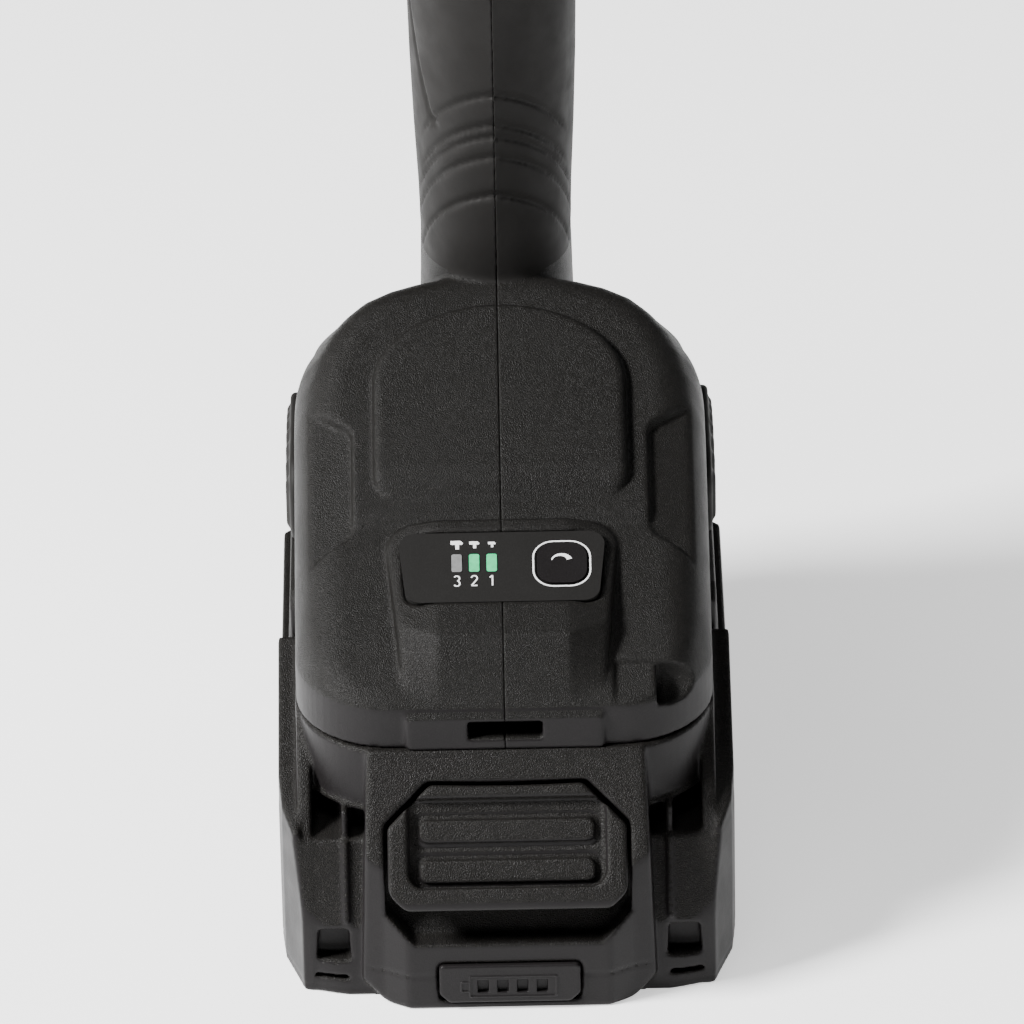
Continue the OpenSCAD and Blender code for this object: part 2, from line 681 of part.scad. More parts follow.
module rear_cap_screws() color("#55585c") on_axis(head_y1) rear_screw_angles() {
    translate([0, 0, 4.65]) difference() {
        cylinder(h = 2.2, r = 1.8, $fn = 32);
        translate([0, 0, 1]) cylinder(h = 2, r = 0.9, $fn = 6);
    }
    translate([0, 0, -8]) cylinder(h = 12.7, r = 1.2, $fn = 32);
}

module motor_stator() color("#6b6e73") difference() {
    axis_rod(98, 124, 30.97, 96);
    axis_rod(97, 125, 14.6, 64);
    for (a = [30:60:330]) on_axis(97) rotate([0, 0, a]) translate([13, -2.2, 0]) cube([12, 4.4, 30]);
}

module motor_windings() color("#b4652c") for (a = [0:60:300]) on_axis(93.4) rotate([0, 0, a]) {
    translate([16.4, -6, 0]) cube([9.4, 12, 4.5]);
    translate([16.4, -6, 30.7]) cube([9.4, 12, 4.5]);
}

module sensor_board() color("#1d5c3a") axis_tube(129.2, 130.6, 26, 8);

// Outline of the pinion; a tooth points at each planet
module motor_shaft() color("#a9adb2") {
    axis_rod(77.2, 145.6, 2.6, 48);
    on_axis(gear_y0 + 0.3) linear_extrude(height = 10.5)
        gear_outline(sun_teeth, sun_r - 1.2 * gear_m, sun_r + gear_m, 0.7);
}

module rotor_magnets() color("#7d8086") axis_tube(98.5, 123.5, 14, 2.6);

module cooling_fan() color("#2b2c2e") {
    axis_tube(131.6, 133.2, 27, 2.6, 72);
    axis_tube(131.6, 138.4, 7, 2.6);
    for (a = [0:24:336]) on_axis(133) rotate([0, 0, a]) translate([12, -0.7, 0]) cube([14, 1.4, 5.6]);
}

module front_bearing() color("#c4c7ca") axis_tube(84.2, 89.2, 8, 2.62);
module rear_bearing() color("#c4c7ca") axis_tube(140, 145, 8, 2.62);

module gearbox_plate() color("#85888d") {
    difference() {
        axis_rod(79.2, 90, 30.5, 72);
        axis_rod(78, 91, 8.02);
        axis_rod(82, 91, 26, 64);
    }
    axis_tube(82, 89.4, 11, 8.02);
}

module ring_gear() color("#8f9296") on_axis(gear_y0 - 0.5) difference() {
    linear_extrude(height = 11.4) circle(r = 29.66, $fn = 96);
    translate([0, 0, -1]) linear_extrude(height = 14)
        rotate([0, 0, 180 / ring_teeth])
            gear_outline(ring_teeth, ring_r - 0.85 * gear_m, ring_r + 1.2 * gear_m, -0.25);
}

// A planet whose gap faces the pinion's tooth
module planet(i) color("#a2a5aa") on_axis(gear_y0) rotate([0, 0, i * 120]) translate([orbit_r, 0, 0])
    difference() {
        linear_extrude(height = gear_w) rotate([0, 0, 180 / planet_teeth])
            gear_outline(planet_teeth, planet_r - 1.2 * gear_m, planet_r + 0.9 * gear_m, 0.5);
        translate([0, 0, -1]) cylinder(h = gear_w + 2, r = 2.55, $fn = 48);
    }
module planet_gear_1() planet(0);
module planet_gear_2() planet(1);
module planet_gear_3() planet(2);

module planet_pins() color("#c4c7ca") for (i = [0:2])
    on_axis(gear_y0 - 4.5) rotate([0, 0, i * 120]) translate([orbit_r, 0, 0])
        cylinder(h = gear_w + 5, r = 2.5, $fn = 48);

// The spindle carries the planets on its flange and the hammer on its cam grooves
module spindle() color("#9b9ea3") difference() {
    union() {
        axis_rod(15, 26, 4.9, 48);
        axis_rod(24.4, gear_y0 - 0.4, 8, 64);
        axis_rod(gear_y0 - 5.6, gear_y0 - 0.4, 20, 72);
    }
    for (i = [0:2]) on_axis(gear_y0 - 4.6) rotate([0, 0, i * 120]) translate([orbit_r, 0, 0])
        cylinder(h = 6, r = 2.52, $fn = 48);
    for (s = [0, 180]) on_axis(36) rotate([0, 0, s]) translate([8.4, 0, 0]) sphere(r = 2.6, $fn = 48);
    axis_rod(60, gear_y0 + 1, 7.4);
}

module spindle_bearing() color("#c4c7ca") axis_tube(gear_y0 - 5.4, gear_y0 - 0.6, 29.66, 20.03, 96);

module cam_balls() color("#d7d9db") for (s = [0, 180])
    on_axis(36) rotate([0, 0, s]) translate([8.4, 0, 0]) sphere(r = 2.5, $fn = 48);

module hammer() color("#777a7f") {
    difference() {
        axis_rod(28, 52, 26.5, 96);
        axis_rod(27, 53, 8.06, 64);
        axis_rod(27, 39, 11.2, 64);
        axis_tube(38, 53, 20, 13.4);
    }
    for (s = [0, 180]) intersection() {
        axis_tube(20.4, 28.2, 26, 13);
        on_axis(20) rotate([0, 0, s]) translate([12, -7, 0]) cube([16, 14, 9]);
    }
}

module hammer_spring() color("#b9bcc0") axis_tube(38.05, gear_y0 - 5.65, 19.2, 14.4);

module anvil() color("#5c5f63") {
    difference() {
        axis_rod(nose_y - 1, 20.2, 9.4, 64);
        axis_rod(14, 21, 5, 48);
    }
    difference() {
        axis_rod(17.6, 20.2, 16, 64);
        axis_rod(14, 21, 5, 48);
    }
    difference() {
        translate([0, drive_tip, axis_z]) rotate([-90, 0, 0]) intersection() {
            translate([-drive_af / 2, -drive_af / 2, 0]) cube([drive_af, drive_af, drive_l]);
            cylinder(h = drive_l, r1 = drive_af * 0.66, r2 = drive_af * 0.66 + drive_l, $fn = 64);
        }
        translate([0, drive_tip + 9, axis_z]) rotate([0, 90, 0])
            cylinder(h = 30, r = 1.6, center = true, $fn = 40);
        on_axis(drive_tip + 3.2) difference() {
            cylinder(h = 2.2, r = 12, $fn = 64);
            translate([0, 0, -1]) cylinder(h = 5, r = 7.3, $fn = 64);
        }
    }
    for (s = [90, 270]) intersection() {
        axis_tube(19.2, 27.6, 24.6, 10);
        on_axis(19) rotate([0, 0, s]) translate([0, -6, 0]) cube([30, 12, 9]);
    }
}

module anvil_ring() color("#2a2a2c") difference() {
    axis_tube(drive_tip + 3.3, drive_tip + 5.3, 8.7, 7.35);
    on_axis(drive_tip + 3) translate([-1, 5, 0]) cube([2, 6, 4]);
}

module anvil_bushing() color("#a98a4e") axis_tube(nose_y + 1, 15, 12, 9.44);

module hammer_case() color("#4a4b4e") {
    on_axis(0) rotate_extrude($fn = 96) polygon([[12.02, nose_y], [16, nose_y], [18, nose_y + 2],
        [19.5, 8], [29, 20], [33, 29], [33, 79], [29.7, 79], [29.7, 61], [29.3, 60],
        [29.3, 24], [26, 18.4], [12.02, 16]]);
    case_screw_places() difference() {
        cylinder(h = 12.3, r = 4.2, $fn = 40);
        translate([0, 0, -1]) cylinder(h = 14, r = 2.1, $fn = 32);
    }
}

module case_screw_angles() for (a = [40, 140, 220, 320]) rotate([0, 0, a]) translate([36, 0, 0]) children();

module case_screw_places() on_axis(63.6) case_screw_angles() children();

module case_screws() color("#55585c") case_screw_places() {
    translate([0, 0, -3]) difference() {
        cylinder(h = 2.9, r = 2.9, $fn = 40);
        translate([0, 0, -1]) cylinder(h = 2.5, r = 1.4, $fn = 6);
    }
    translate([0, 0, -0.2]) cylinder(h = 22, r = 2, $fn = 32);
}

module nose_bumper() color("#141414") on_axis(0) rotate_extrude($fn = 96)
    polygon([[19.3, 5.4], [21.6, 4.4], [31.4, 17.4], [35.4, 28], [35.4, 40], [33.2, 41],
        [33.2, 29], [29.2, 20.1], [19.65, 8.2]]);

// -- one node at a time --

module placed() translate([0, -mid_y, 0]) children();

placed() battery_lower_case();
placed() battery_upper_case();
placed() battery_screws();
placed() battery_cells();
placed() cell_holder_left();
placed() cell_holder_right();
placed() bus_strips();
placed() battery_board();
placed() battery_terminals();
placed() latch_button();
placed() latch_springs();
placed() gauge_button();
placed() housing_left();
placed() housing_right();
placed() housing_screws();
placed() side_bumper_left();
placed() side_bumper_right();
placed() grip_left();
placed() grip_right();
placed() control_panel();
placed() level_lights();
placed() mode_button();
placed() controller_board();
placed() controller_tray();
placed() terminal_block();
placed() trigger();
placed() trigger_switch();
placed() trigger_spring();
placed() direction_lever();
placed() work_light();
placed() rear_cap();
placed() rear_cap_screws();
placed() motor_stator();
placed() motor_windings();
placed() sensor_board();
placed() motor_shaft();
placed() rotor_magnets();
placed() cooling_fan();
placed() front_bearing();
placed() rear_bearing();
placed() gearbox_plate();
placed() ring_gear();
placed() planet_gear_1();
placed() planet_gear_2();
placed() planet_gear_3();
placed() spindle();
placed() planet_pins();
placed() spindle_bearing();
placed() hammer();
placed() hammer_spring();
placed() cam_balls();
placed() anvil();
placed() anvil_ring();
placed() anvil_bushing();
placed() hammer_case();
placed() case_screws();
placed() nose_bumper();
placed() motor_wires();
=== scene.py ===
"""Cordless impact wrench on its battery pack: moulded shells, materials, light and camera.

Shapes are worked out in millimetres in the frame's own axes, with Y counted from the
front of the battery pack, and are placed in the row frame in metres at the end.
"""
import json
import math

import bpy
import numpy as np
from mathutils import Matrix, Vector


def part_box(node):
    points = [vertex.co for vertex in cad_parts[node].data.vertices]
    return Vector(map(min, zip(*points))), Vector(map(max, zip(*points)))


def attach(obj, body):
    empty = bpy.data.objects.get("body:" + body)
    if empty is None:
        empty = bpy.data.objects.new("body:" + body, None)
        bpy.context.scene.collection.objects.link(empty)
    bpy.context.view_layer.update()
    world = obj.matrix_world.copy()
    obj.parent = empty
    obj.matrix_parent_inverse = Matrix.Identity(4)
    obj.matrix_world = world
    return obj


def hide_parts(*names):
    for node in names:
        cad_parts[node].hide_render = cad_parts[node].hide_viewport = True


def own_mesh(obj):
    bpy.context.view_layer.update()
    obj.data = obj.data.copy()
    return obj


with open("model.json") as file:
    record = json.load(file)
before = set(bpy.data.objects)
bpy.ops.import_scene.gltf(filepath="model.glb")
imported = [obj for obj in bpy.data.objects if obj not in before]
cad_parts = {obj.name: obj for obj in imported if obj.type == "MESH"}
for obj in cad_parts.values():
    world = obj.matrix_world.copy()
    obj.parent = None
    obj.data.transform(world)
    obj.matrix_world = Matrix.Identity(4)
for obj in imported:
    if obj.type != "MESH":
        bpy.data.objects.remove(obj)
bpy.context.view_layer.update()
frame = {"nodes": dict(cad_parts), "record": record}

MM = 0.001
NODES = frame["nodes"]


def corners(node):
    """A node's lowest and highest corner in millimetres, with Y from the pack's front."""
    low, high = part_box(node)
    return [tuple(c / MM - (FRONT_Y if i == 1 else 0) for i, c in enumerate(p)) for p in (low, high)]


# Driving sizes in millimetres, read from the CAD nodes where they can be
FRONT_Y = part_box("battery_lower_case")[0][1] / MM
PACK_TOP = corners("battery_upper_case")[1][2]
PACK_L = corners("battery_lower_case")[1][1]
FOOT_Z = PACK_TOP + 0.3         # the foot stands just clear of the pack
FOOT_LIMIT = 110                # the foot's shapes lie below this height
HEAD_LIMIT = 190                # and the head's shapes above this one
AXIS_Z = sum(c[2] for c in corners("rear_cap")) / 2
HEAD_Y0 = 76.0
HEAD_Y1 = corners("rear_cap")[1][1] - 12
HEAD_R = corners("rear_cap")[1][0]
HEAD_TOP = corners("housing_left")[1][2]
MOTOR_BAY_R = 33.2
WAIST_Y = 124                   # where the motor housing's waist ends
TRIGGER_Z = 183
BUMPER_Y, BUMPER_Z = 93, 62
PANEL_MIDDLE = 16.4             # along the panel's plane
HOOK_ROOM = 8.6                 # half the width of the room for the latch's hook
DIAGONAL = 0.7071

# Planes that the shells share: each starts at (y, z) and rises at an angle in degrees
BUTTON_PLANE = (0.0, 24.6, 57.0)
PANEL_PLANE = (22.0, 66.3, 20.0)
DOME_PLANE = (48.4, 74.2, 27.6)


def arc_points(cx, cy, rx, ry, start, end, count):
    """Points along an elliptical arc, in degrees from +u towards +v."""
    turns = [math.radians(start + (end - start) * i / count) for i in range(count + 1)]
    return [(cx + rx * math.cos(a), cy + ry * math.sin(a)) for a in turns]


# The foot seen from above: a curved front, straight sides and a rounded tail
FOOT_PLAN = ([(-9, 15.2), (16, 15.2)] + arc_points(20, 34, 18.2, 18.8, -88, 0, 16)
             + [(38.2, 60), (38.2, 104), (36, 122), (30, 131), (20, 137.4), (-9, 137.6)])


# ---------------------------------------------------------------- distance fields

def smooth_max(a, b, k):
    """The common part of two shapes, with its edge rounded by about k."""
    h = np.clip(0.5 - 0.5 * (b - a) / k, 0, 1)
    return b + (a - b) * h + k * h * (1 - h)


def smooth_min(a, b, k):
    """Two shapes joined, with a fillet of about k."""
    return -smooth_max(-a, -b, k)


def meet(*fields):
    """The common part of several shapes, with sharp edges."""
    d = fields[0]
    for field in fields[1:]:
        d = np.maximum(d, field)
    return d


def cut(a, b, k=0.3):
    """a without b, with an edge rounded by about k."""
    return smooth_max(a, -b, k)


def polygon(u, v, points):
    """Signed distance to a closed outline, negative inside."""
    nearest = np.full(np.broadcast(u, v).shape, 1e9)
    inside = np.zeros(nearest.shape, bool)
    for (au, av), (bu, bv) in zip(points, points[1:] + points[:1]):
        eu, ev = bu - au, bv - av
        t = np.clip(((u - au) * eu + (v - av) * ev) / (eu * eu + ev * ev), 0, 1)
        nearest = np.minimum(nearest, (u - au - t * eu) ** 2 + (v - av - t * ev) ** 2)
        if ev:
            inside ^= ((av <= v) != (bv <= v)) & (u < au + (v - av) * eu / ev)
    return np.where(inside, -1, 1) * np.sqrt(nearest)


def rounded_box(u, v, half_u, half_v, r):
    """Signed distance to a rounded rectangle centred on zero."""
    du = np.abs(u) - half_u + r
    dv = np.abs(v) - half_v + r
    return np.minimum(np.maximum(du, dv), 0) + np.hypot(np.maximum(du, 0), np.maximum(dv, 0)) - r


def slab(w, low, high):
    """The space between two parallel planes."""
    return np.maximum(low - w, w - high)


def plane_frame(y, z, plane):
    """Distance along a rising plane and out of it."""
    y0, z0, tilt = plane
    c, s = math.cos(math.radians(tilt)), math.sin(math.radians(tilt))
    return (y - y0) * c + (z - z0) * s, (z - z0) * c - (y - y0) * s


def groove(field, line, width, depth):
    """Sinks a soft groove along the places where line is zero."""
    return field + depth * np.exp(-(line / width) ** 2)


class Grid:
    """A lattice of sample points over a box; parts of it can be filled one after another."""

    def __init__(self, low, high, step, fine_x=None):
        self.axes = [np.arange(a, b + step, step) for a, b in zip(low, high)]
        if fine_x is not None:
            self.axes[0] = np.concatenate([fine_x, self.axes[0][self.axes[0] > fine_x[-1] + step / 3]])
        self.field = np.full([len(a) for a in self.axes], 9.0, np.float32)

    def fill(self, low, high, shape):
        """Joins shape(x, y, z) to the field inside the given box."""
        part = tuple(slice(*np.searchsorted(axis, (a, b))) for axis, a, b in zip(self.axes, low, high))
        x, y, z = (self.axes[i][part[i]].reshape([-1 if i == j else 1 for j in range(3)]) for i in range(3))
        self.field[part] = np.minimum(self.field[part], shape(x, y, z))

    def place(self, cells, offsets):
        """Points in millimetres from cell numbers and offsets inside the cells."""
        return np.stack([axis[c] + o * (axis[c + 1] - axis[c])
                         for axis, c, o in zip(self.axes, cells.T, offsets.T)], 1)


def crossings(field, cells):
    """One point per crossed cell, pulled on to the surface, in cell units."""
    offsets = [(a, b, c) for a in (0, 1) for b in (0, 1) for c in (0, 1)]
    values = {o: field[cells[:, 0] + o[0], cells[:, 1] + o[1], cells[:, 2] + o[2]].astype(float)
              for o in offsets}
    total = np.zeros((len(cells), 3))
    count = np.zeros(len(cells))
    for o in offsets:
        for axis in range(3):
            if o[axis]:
                continue
            end = tuple(o[i] + (i == axis) for i in range(3))
            a, b = values[o], values[end]
            crossed = (a < 0) != (b < 0)
            t = np.where(crossed, a / np.where(crossed, a - b, 1), 0)
            for i in range(3):
                total[:, i] += np.where(crossed, o[i] + (t if i == axis else 0), 0)
            count += crossed
    p = total / count[:, None]
    for _ in range(2):
        value, slope = trilinear(values, p)
        step = value / np.maximum((slope ** 2).sum(1), 1e-6)
        p = np.clip(p - 0.8 * slope * step[:, None], 0.02, 0.98)
    return p


def trilinear(values, p):
    """Value and gradient inside each cell."""
    value = np.zeros(len(p))
    slope = np.zeros((len(p), 3))
    for o, corner in values.items():
        weight = [p[:, i] if o[i] else 1 - p[:, i] for i in range(3)]
        value += corner * weight[0] * weight[1] * weight[2]
        for i in range(3):
            others = [weight[j] for j in range(3) if j != i]
            slope[:, i] += corner * others[0] * others[1] * (1 if o[i] else -1)
    return value, slope


def surface(grid):
    """Vertices and quads of the grid's zero surface, one vertex per crossed cell."""
    field = grid.field
    inside = field < 0
    low = [slice(None, -1)] * 3
    cell_sum = np.zeros([n - 1 for n in field.shape], np.int8)
    for o in [(a, b, c) for a in (0, 1) for b in (0, 1) for c in (0, 1)]:
        cell_sum += inside[tuple(slice(a, n - 1 + a) for a, n in zip(o, field.shape))]
    cells = np.argwhere((cell_sum > 0) & (cell_sum < 8))
    index = np.full(cell_sum.shape, -1, np.int32)
    index[tuple(cells.T)] = np.arange(len(cells))
    points = grid.place(cells, crossings(field, cells))
    quads = []
    for axis in range(3):
        ahead = list(low)
        ahead[axis] = slice(1, None)
        here = list(low)
        changed = inside[tuple(here)] != inside[tuple(ahead)]
        edges = np.argwhere(changed)
        b, c = (axis + 1) % 3, (axis + 2) % 3
        edges = edges[(edges[:, b] > 0) & (edges[:, c] > 0)]
        ring = []
        for db, dc in ((-1, -1), (0, -1), (0, 0), (-1, 0)):
            q = edges.copy()
            q[:, b] += db
            q[:, c] += dc
            ring.append(index[tuple(q.T)])
        ring = np.stack(ring, 1)
        outward = inside[tuple(edges.T)]
        ring[~outward] = ring[~outward][:, ::-1]
        quads.append(ring)
    quads = np.concatenate(quads)
    return points, quads[(quads >= 0).all(1)]


def add_object(name, data):
    """A new object in the scene for a mesh, a camera or a light."""
    obj = bpy.data.objects.new(name, data)
    bpy.context.scene.collection.objects.link(obj)
    return obj


def face_values(mesh, attribute):
    """A three-number attribute of every face, as one row for each axis."""
    values = np.empty(len(mesh.polygons) * 3, np.float32)
    mesh.polygons.foreach_get(attribute, values)
    return values.reshape(-1, 3).T


def piece(name, points, quads, body, slot, material, mirror=False):
    """A mesh object in the row frame from millimetre points and quads."""
    points = points.copy()
    if mirror:
        points[:, 0] *= -1
        quads = quads[:, ::-1]
    points[:, 1] += FRONT_Y
    points[:, 2] = np.maximum(points[:, 2], 0)
    used, quads = np.unique(quads, return_inverse=True)
    quads = quads.reshape(-1, 4)
    mesh = bpy.data.meshes.new(name)
    mesh.vertices.add(len(used))
    mesh.vertices.foreach_set("co", (points[used] * MM).astype(np.float32).ravel())
    mesh.loops.add(quads.size)
    mesh.loops.foreach_set("vertex_index", quads.astype(np.int32).ravel())
    mesh.polygons.add(len(quads))
    mesh.polygons.foreach_set("loop_start", np.arange(0, quads.size, 4, dtype=np.int32))
    mesh.polygons.foreach_set("use_smooth", np.ones(len(quads), bool))
    mesh.update(calc_edges=True)
    mesh.validate()
    mesh.materials.append(material)
    obj = add_object(name, mesh)
    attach(obj, body)
    return obj


def moulded(name, low, high, step, shape, body, slot, material):
    """A single moulded piece from one distance field."""
    grid = Grid(low, high, step)
    grid.fill(low, high, shape)
    return piece(name, *surface(grid), body, slot, material)


# ---------------------------------------------------------------- materials

def new_material(name):
    """A node material with a low specular level, its tree and its shader."""
    material = bpy.data.materials.new(name)
    material.use_nodes = True
    tree = material.node_tree
    shader = tree.nodes["Principled BSDF"]
    shader.inputs["Specular IOR Level"].default_value = 0.13
    return material, tree, shader


def place(tree):
    """The piece's own coordinates, in metres."""
    return tree.nodes.new("ShaderNodeTexCoord").outputs["Object"]


def noise(tree, scale, detail=2.0, roughness=0.5):
    """Noise with scale features to the metre."""
    node = tree.nodes.new("ShaderNodeTexNoise")
    node.inputs["Scale"].default_value = scale
    node.inputs["Detail"].default_value = detail
    node.inputs["Roughness"].default_value = roughness
    tree.links.new(place(tree), node.inputs["Vector"])
    return node.outputs["Fac"]


def ramp(tree, source, stops):
    """Turns a value into a colour by (position, colour) stops."""
    node = tree.nodes.new("ShaderNodeValToRGB")
    while len(node.color_ramp.elements) < len(stops):
        node.color_ramp.elements.new(0.5)
    for element, (position, colour) in zip(node.color_ramp.elements, stops):
        element.position = position
        element.color = (*colour, 1)
    tree.links.new(source, node.inputs["Fac"])
    return node.outputs["Color"]


def vary(tree, shader, socket, source, low, high):
    """Lets a shader's socket wander between two colours."""
    tree.links.new(ramp(tree, source, [(0.3, low), (0.7, high)]), shader.inputs[socket])


def grey(value):
    """A neutral colour, or a plain value for a socket that isn't a colour."""
    return (value, value, value)


def bump(tree, shader, source, strength, distance):
    """Raises a shader's surface by a value, up to distance in metres."""
    node = tree.nodes.new("ShaderNodeBump")
    node.inputs["Strength"].default_value = strength
    node.inputs["Distance"].default_value = distance
    tree.links.new(source, node.inputs["Height"])
    tree.links.new(node.outputs["Normal"], shader.inputs["Normal"])


def spark_plastic(name, colour, rough=0.5, grain=0.5, grain_scale=2100, painted_glint=1.0):
    """Moulded plastic with a spark-eroded grain, painted glints on its crests in place of light catching
    them, and slight wear.
    """
    material, tree, shader = new_material(name)
    low = tuple(c * 0.92 for c in colour)
    high = tuple(c * 1.08 for c in colour)
    # painted glint: the grain's crests get a much lighter colour that stands in for light catching them
    glint_colour = tuple(c * (1.08 + painted_glint) for c in colour)
    speck = noise(tree, grain_scale * 1.15, 1.0)
    grain_and_glint = ramp(tree, speck, [(0.3, low), (0.58, high), (0.72, glint_colour)])
    tree.links.new(grain_and_glint, shader.inputs["Base Color"])
    rub = noise(tree, 170, 4, 0.6)
    tree.links.new(ramp(tree, rub, [(0.25, grey(rough + 0.05)), (0.75, grey(rough - 0.05))]),
                   shader.inputs["Roughness"])
    bump(tree, shader, noise(tree, grain_scale, 0.0), grain, 0.00016)
    return material


def metal(name, colour, rough, grain=900, strength=0.15, metallic=1.0):
    """Machined or cast metal with fine tool marks and patchy polish."""
    material, tree, shader = new_material(name)
    tone = noise(tree, 240, 4, 0.6)
    low = tuple(c * 0.8 for c in colour)
    vary(tree, shader, "Base Color", tone, low, colour)
    vary(tree, shader, "Roughness", noise(tree, 500, 3), grey(rough + 0.08), grey(rough - 0.05))
    shader.inputs["Metallic"].default_value = metallic
    bump(tree, shader, noise(tree, grain, 3), strength, 0.00006)
    return material


def rubber(name, colour, rough=0.62):
    """Soft overmoulding with a very fine matt grain."""
    material, tree, shader = new_material(name)
    low = tuple(c * 0.88 for c in colour)
    vary(tree, shader, "Base Color", noise(tree, 90, 4), low, colour)
    vary(tree, shader, "Roughness", noise(tree, 200, 3), grey(rough + 0.06), grey(rough - 0.06))
    bump(tree, shader, noise(tree, 3800, 1.0), 0.25, 0.00006)
    return material


def lit_lens(name, colour, glow):
    """A moulded light guide with a soft change of tone and a fine frosted grain."""
    material, tree, shader = new_material(name)
    low = tuple(c * 0.75 for c in colour)
    tone = ramp(tree, noise(tree, 700, 2), [(0.3, low), (0.7, colour)])
    tree.links.new(tone, shader.inputs["Base Color"])
    tree.links.new(tone, shader.inputs["Emission Color"])
    shader.inputs["Emission Strength"].default_value = glow
    shader.inputs["Roughness"].default_value = 0.35
    bump(tree, shader, noise(tree, 2500, 1.0), 0.2, 0.00005)
    return material


# The last number of each spark-eroded plastic sets how bright its painted glints are
SHELL = spark_plastic("shell_plastic", (0.006, 0.0056, 0.0051), 0.47, 0.95, 5400, 3.4)
PACK = spark_plastic("pack_plastic", (0.0062, 0.0057, 0.0052), 0.45, 1.0, 5000, 3.8)
# A lighter, purple-tinted plastic: the buttons' and trigger's own; laid on the upright faces of the shells it
# is a painted sheen of the pale floor
FINE_AND_SHEEN = spark_plastic("fine_plastic_and_sheen", (0.0085, 0.0076, 0.0078), 0.43, 0.16, 3600, 0.2)
GRIP = rubber("grip_rubber", (0.0095, 0.0088, 0.0082))
PANEL = spark_plastic("panel_film", (0.0125, 0.012, 0.0115), 0.4, 0.1, 4200, 0.2)
PRINT = spark_plastic("white_print", (0.8, 0.8, 0.8), 0.5, 0.1, 3000, 0.05)
GREEN = lit_lens("green_light", (0.045, 0.5, 0.21), 0.25)
UNLIT = lit_lens("unlit_light", (0.2, 0.2, 0.2), 0.0)
DARK_STEEL = metal("dark_steel", (0.2, 0.2, 0.21), 0.38)
BRIGHT_STEEL = metal("bright_steel", (0.62, 0.63, 0.65), 0.25)
CASE_ALLOY = metal("painted_alloy", (0.1, 0.1, 0.105), 0.42, 1500, 0.3, 0.55)
ALUMINIUM = metal("cast_aluminium", (0.55, 0.56, 0.58), 0.4, 1200, 0.3)
BRASS = metal("contact_brass", (0.72, 0.52, 0.22), 0.3)
COPPER = metal("copper_wire", (0.7, 0.33, 0.17), 0.32)
NICKEL = metal("nickel", (0.7, 0.68, 0.63), 0.22)
BOARD = spark_plastic("circuit_board", (0.02, 0.16, 0.08), 0.35, 0.3, 1500)
CELL = spark_plastic("cell_sleeve", (0.07, 0.2, 0.32), 0.3, 0.1, 900)
WIRE = spark_plastic("wire_sleeve", (0.3, 0.05, 0.04), 0.4, 0.2, 1800)


def clear_lens():
    """A clear polycarbonate lens with faint flow marks."""
    material, tree, shader = new_material("clear_lens")
    vary(tree, shader, "Base Color", noise(tree, 300, 2), (0.75, 0.78, 0.8), (0.9, 0.92, 0.94))
    shader.inputs["Roughness"].default_value = 0.12
    shader.inputs["Coat Weight"].default_value = 0.6
    bump(tree, shader, noise(tree, 400, 2), 0.1, 0.0001)
    return material


CAD_MATERIALS = {
    "shell_plastic": SHELL, "button_plastic": FINE_AND_SHEEN, "soft_grip": GRIP, "panel_gloss": PANEL,
    "light_guide": GREEN, "clear_lens": clear_lens(), "inner_plastic": FINE_AND_SHEEN, "cell_wrap": CELL,
    "nickel": NICKEL, "contact_brass": BRASS, "circuit_board": BOARD, "tray_aluminium": ALUMINIUM,
    "spring_steel": BRIGHT_STEEL, "screw_steel": DARK_STEEL, "case_alloy": CASE_ALLOY,
    "bright_steel": BRIGHT_STEEL, "machined_steel": DARK_STEEL, "drive_steel": DARK_STEEL,
    "copper_wire": COPPER, "wire_sleeve": WIRE,
}


# Width of the bevel on the CAD nodes whose edges show
BEVELLED = {
    "anvil": 0.5, "hammer_case": 0.6, "nose_bumper": 1.0, "rear_cap": 0.8, "direction_lever": 0.9,
    "terminal_block": 0.5, "work_light": 0.4, "control_panel": 0.2, "battery_lower_case": 0.4,
    "housing_screws": 0.2, "case_screws": 0.2, "rear_cap_screws": 0.2,
}


def dress_cad_nodes():
    """Gives each CAD node the material of its slot, and small bevels where edges show."""
    slots = {s["node"]: s["material_slot"] for s in frame["record"]["subparts"]}
    for name, obj in NODES.items():
        material = CAD_MATERIALS[slots[name]]
        if obj.material_slots:
            for slot in obj.material_slots:
                slot.material = material
        else:
            obj.data.materials.append(material)
    for name in BEVELLED:
        bevel = NODES[name].modifiers.new("edge", "BEVEL")
        bevel.width = BEVELLED[name] * MM
        bevel.segments = 2
        bevel.limit_method = "ANGLE"
        bevel.angle_limit = math.radians(30)
        bevel.harden_normals = True


# ---------------------------------------------------------------- housing

# The grip's sections: height, middle in y, half width and half depth
GRIP_RINGS = [(62, 117.6, 15, 18.6), (101, 114.4, 14.1, 18.2), (112, 112.8, 14.3, 18.2),
              (126, 110.8, 14.9, 18.6), (142, 108.6, 15.4, 19), (160, 106, 15.7, 19.5),
              (178, 103.5, 16, 20), (196, 101, 16.2, 21), (214, 99, 17, 23)]
# The grooves round the finger side: height, and how far out they reach
GRIP_LINES = ((118.8, 14.4), (127.6, 14.6), (132.2, 14.4), (134.9, 13.6), (141.6, 13.4))
GRIP_TOP = 196
GRIP_POWER = 2.35               # 2 would be an ellipse, more is squarer

# Right halves of the dome's outlines from above: its side, arched in the band and longer in the tail
SHOULDER = [(-9, 0), (33, 0), (33, 74), (32.4, 79), (31.2, 83.2), (29, 87.2), (26, 90.7)]
BAND_EDGE = SHOULDER + [(23, 93), (19, 94.8), (14.3, 96.1), (8, 97.2), (-9, 97.6)]
TAIL_EDGE = SHOULDER + [(22.5, 95), (20.5, 101), (18, 112), (14, 124), (8, 131), (-9, 132)]
BAND_SLOPE = 1.3


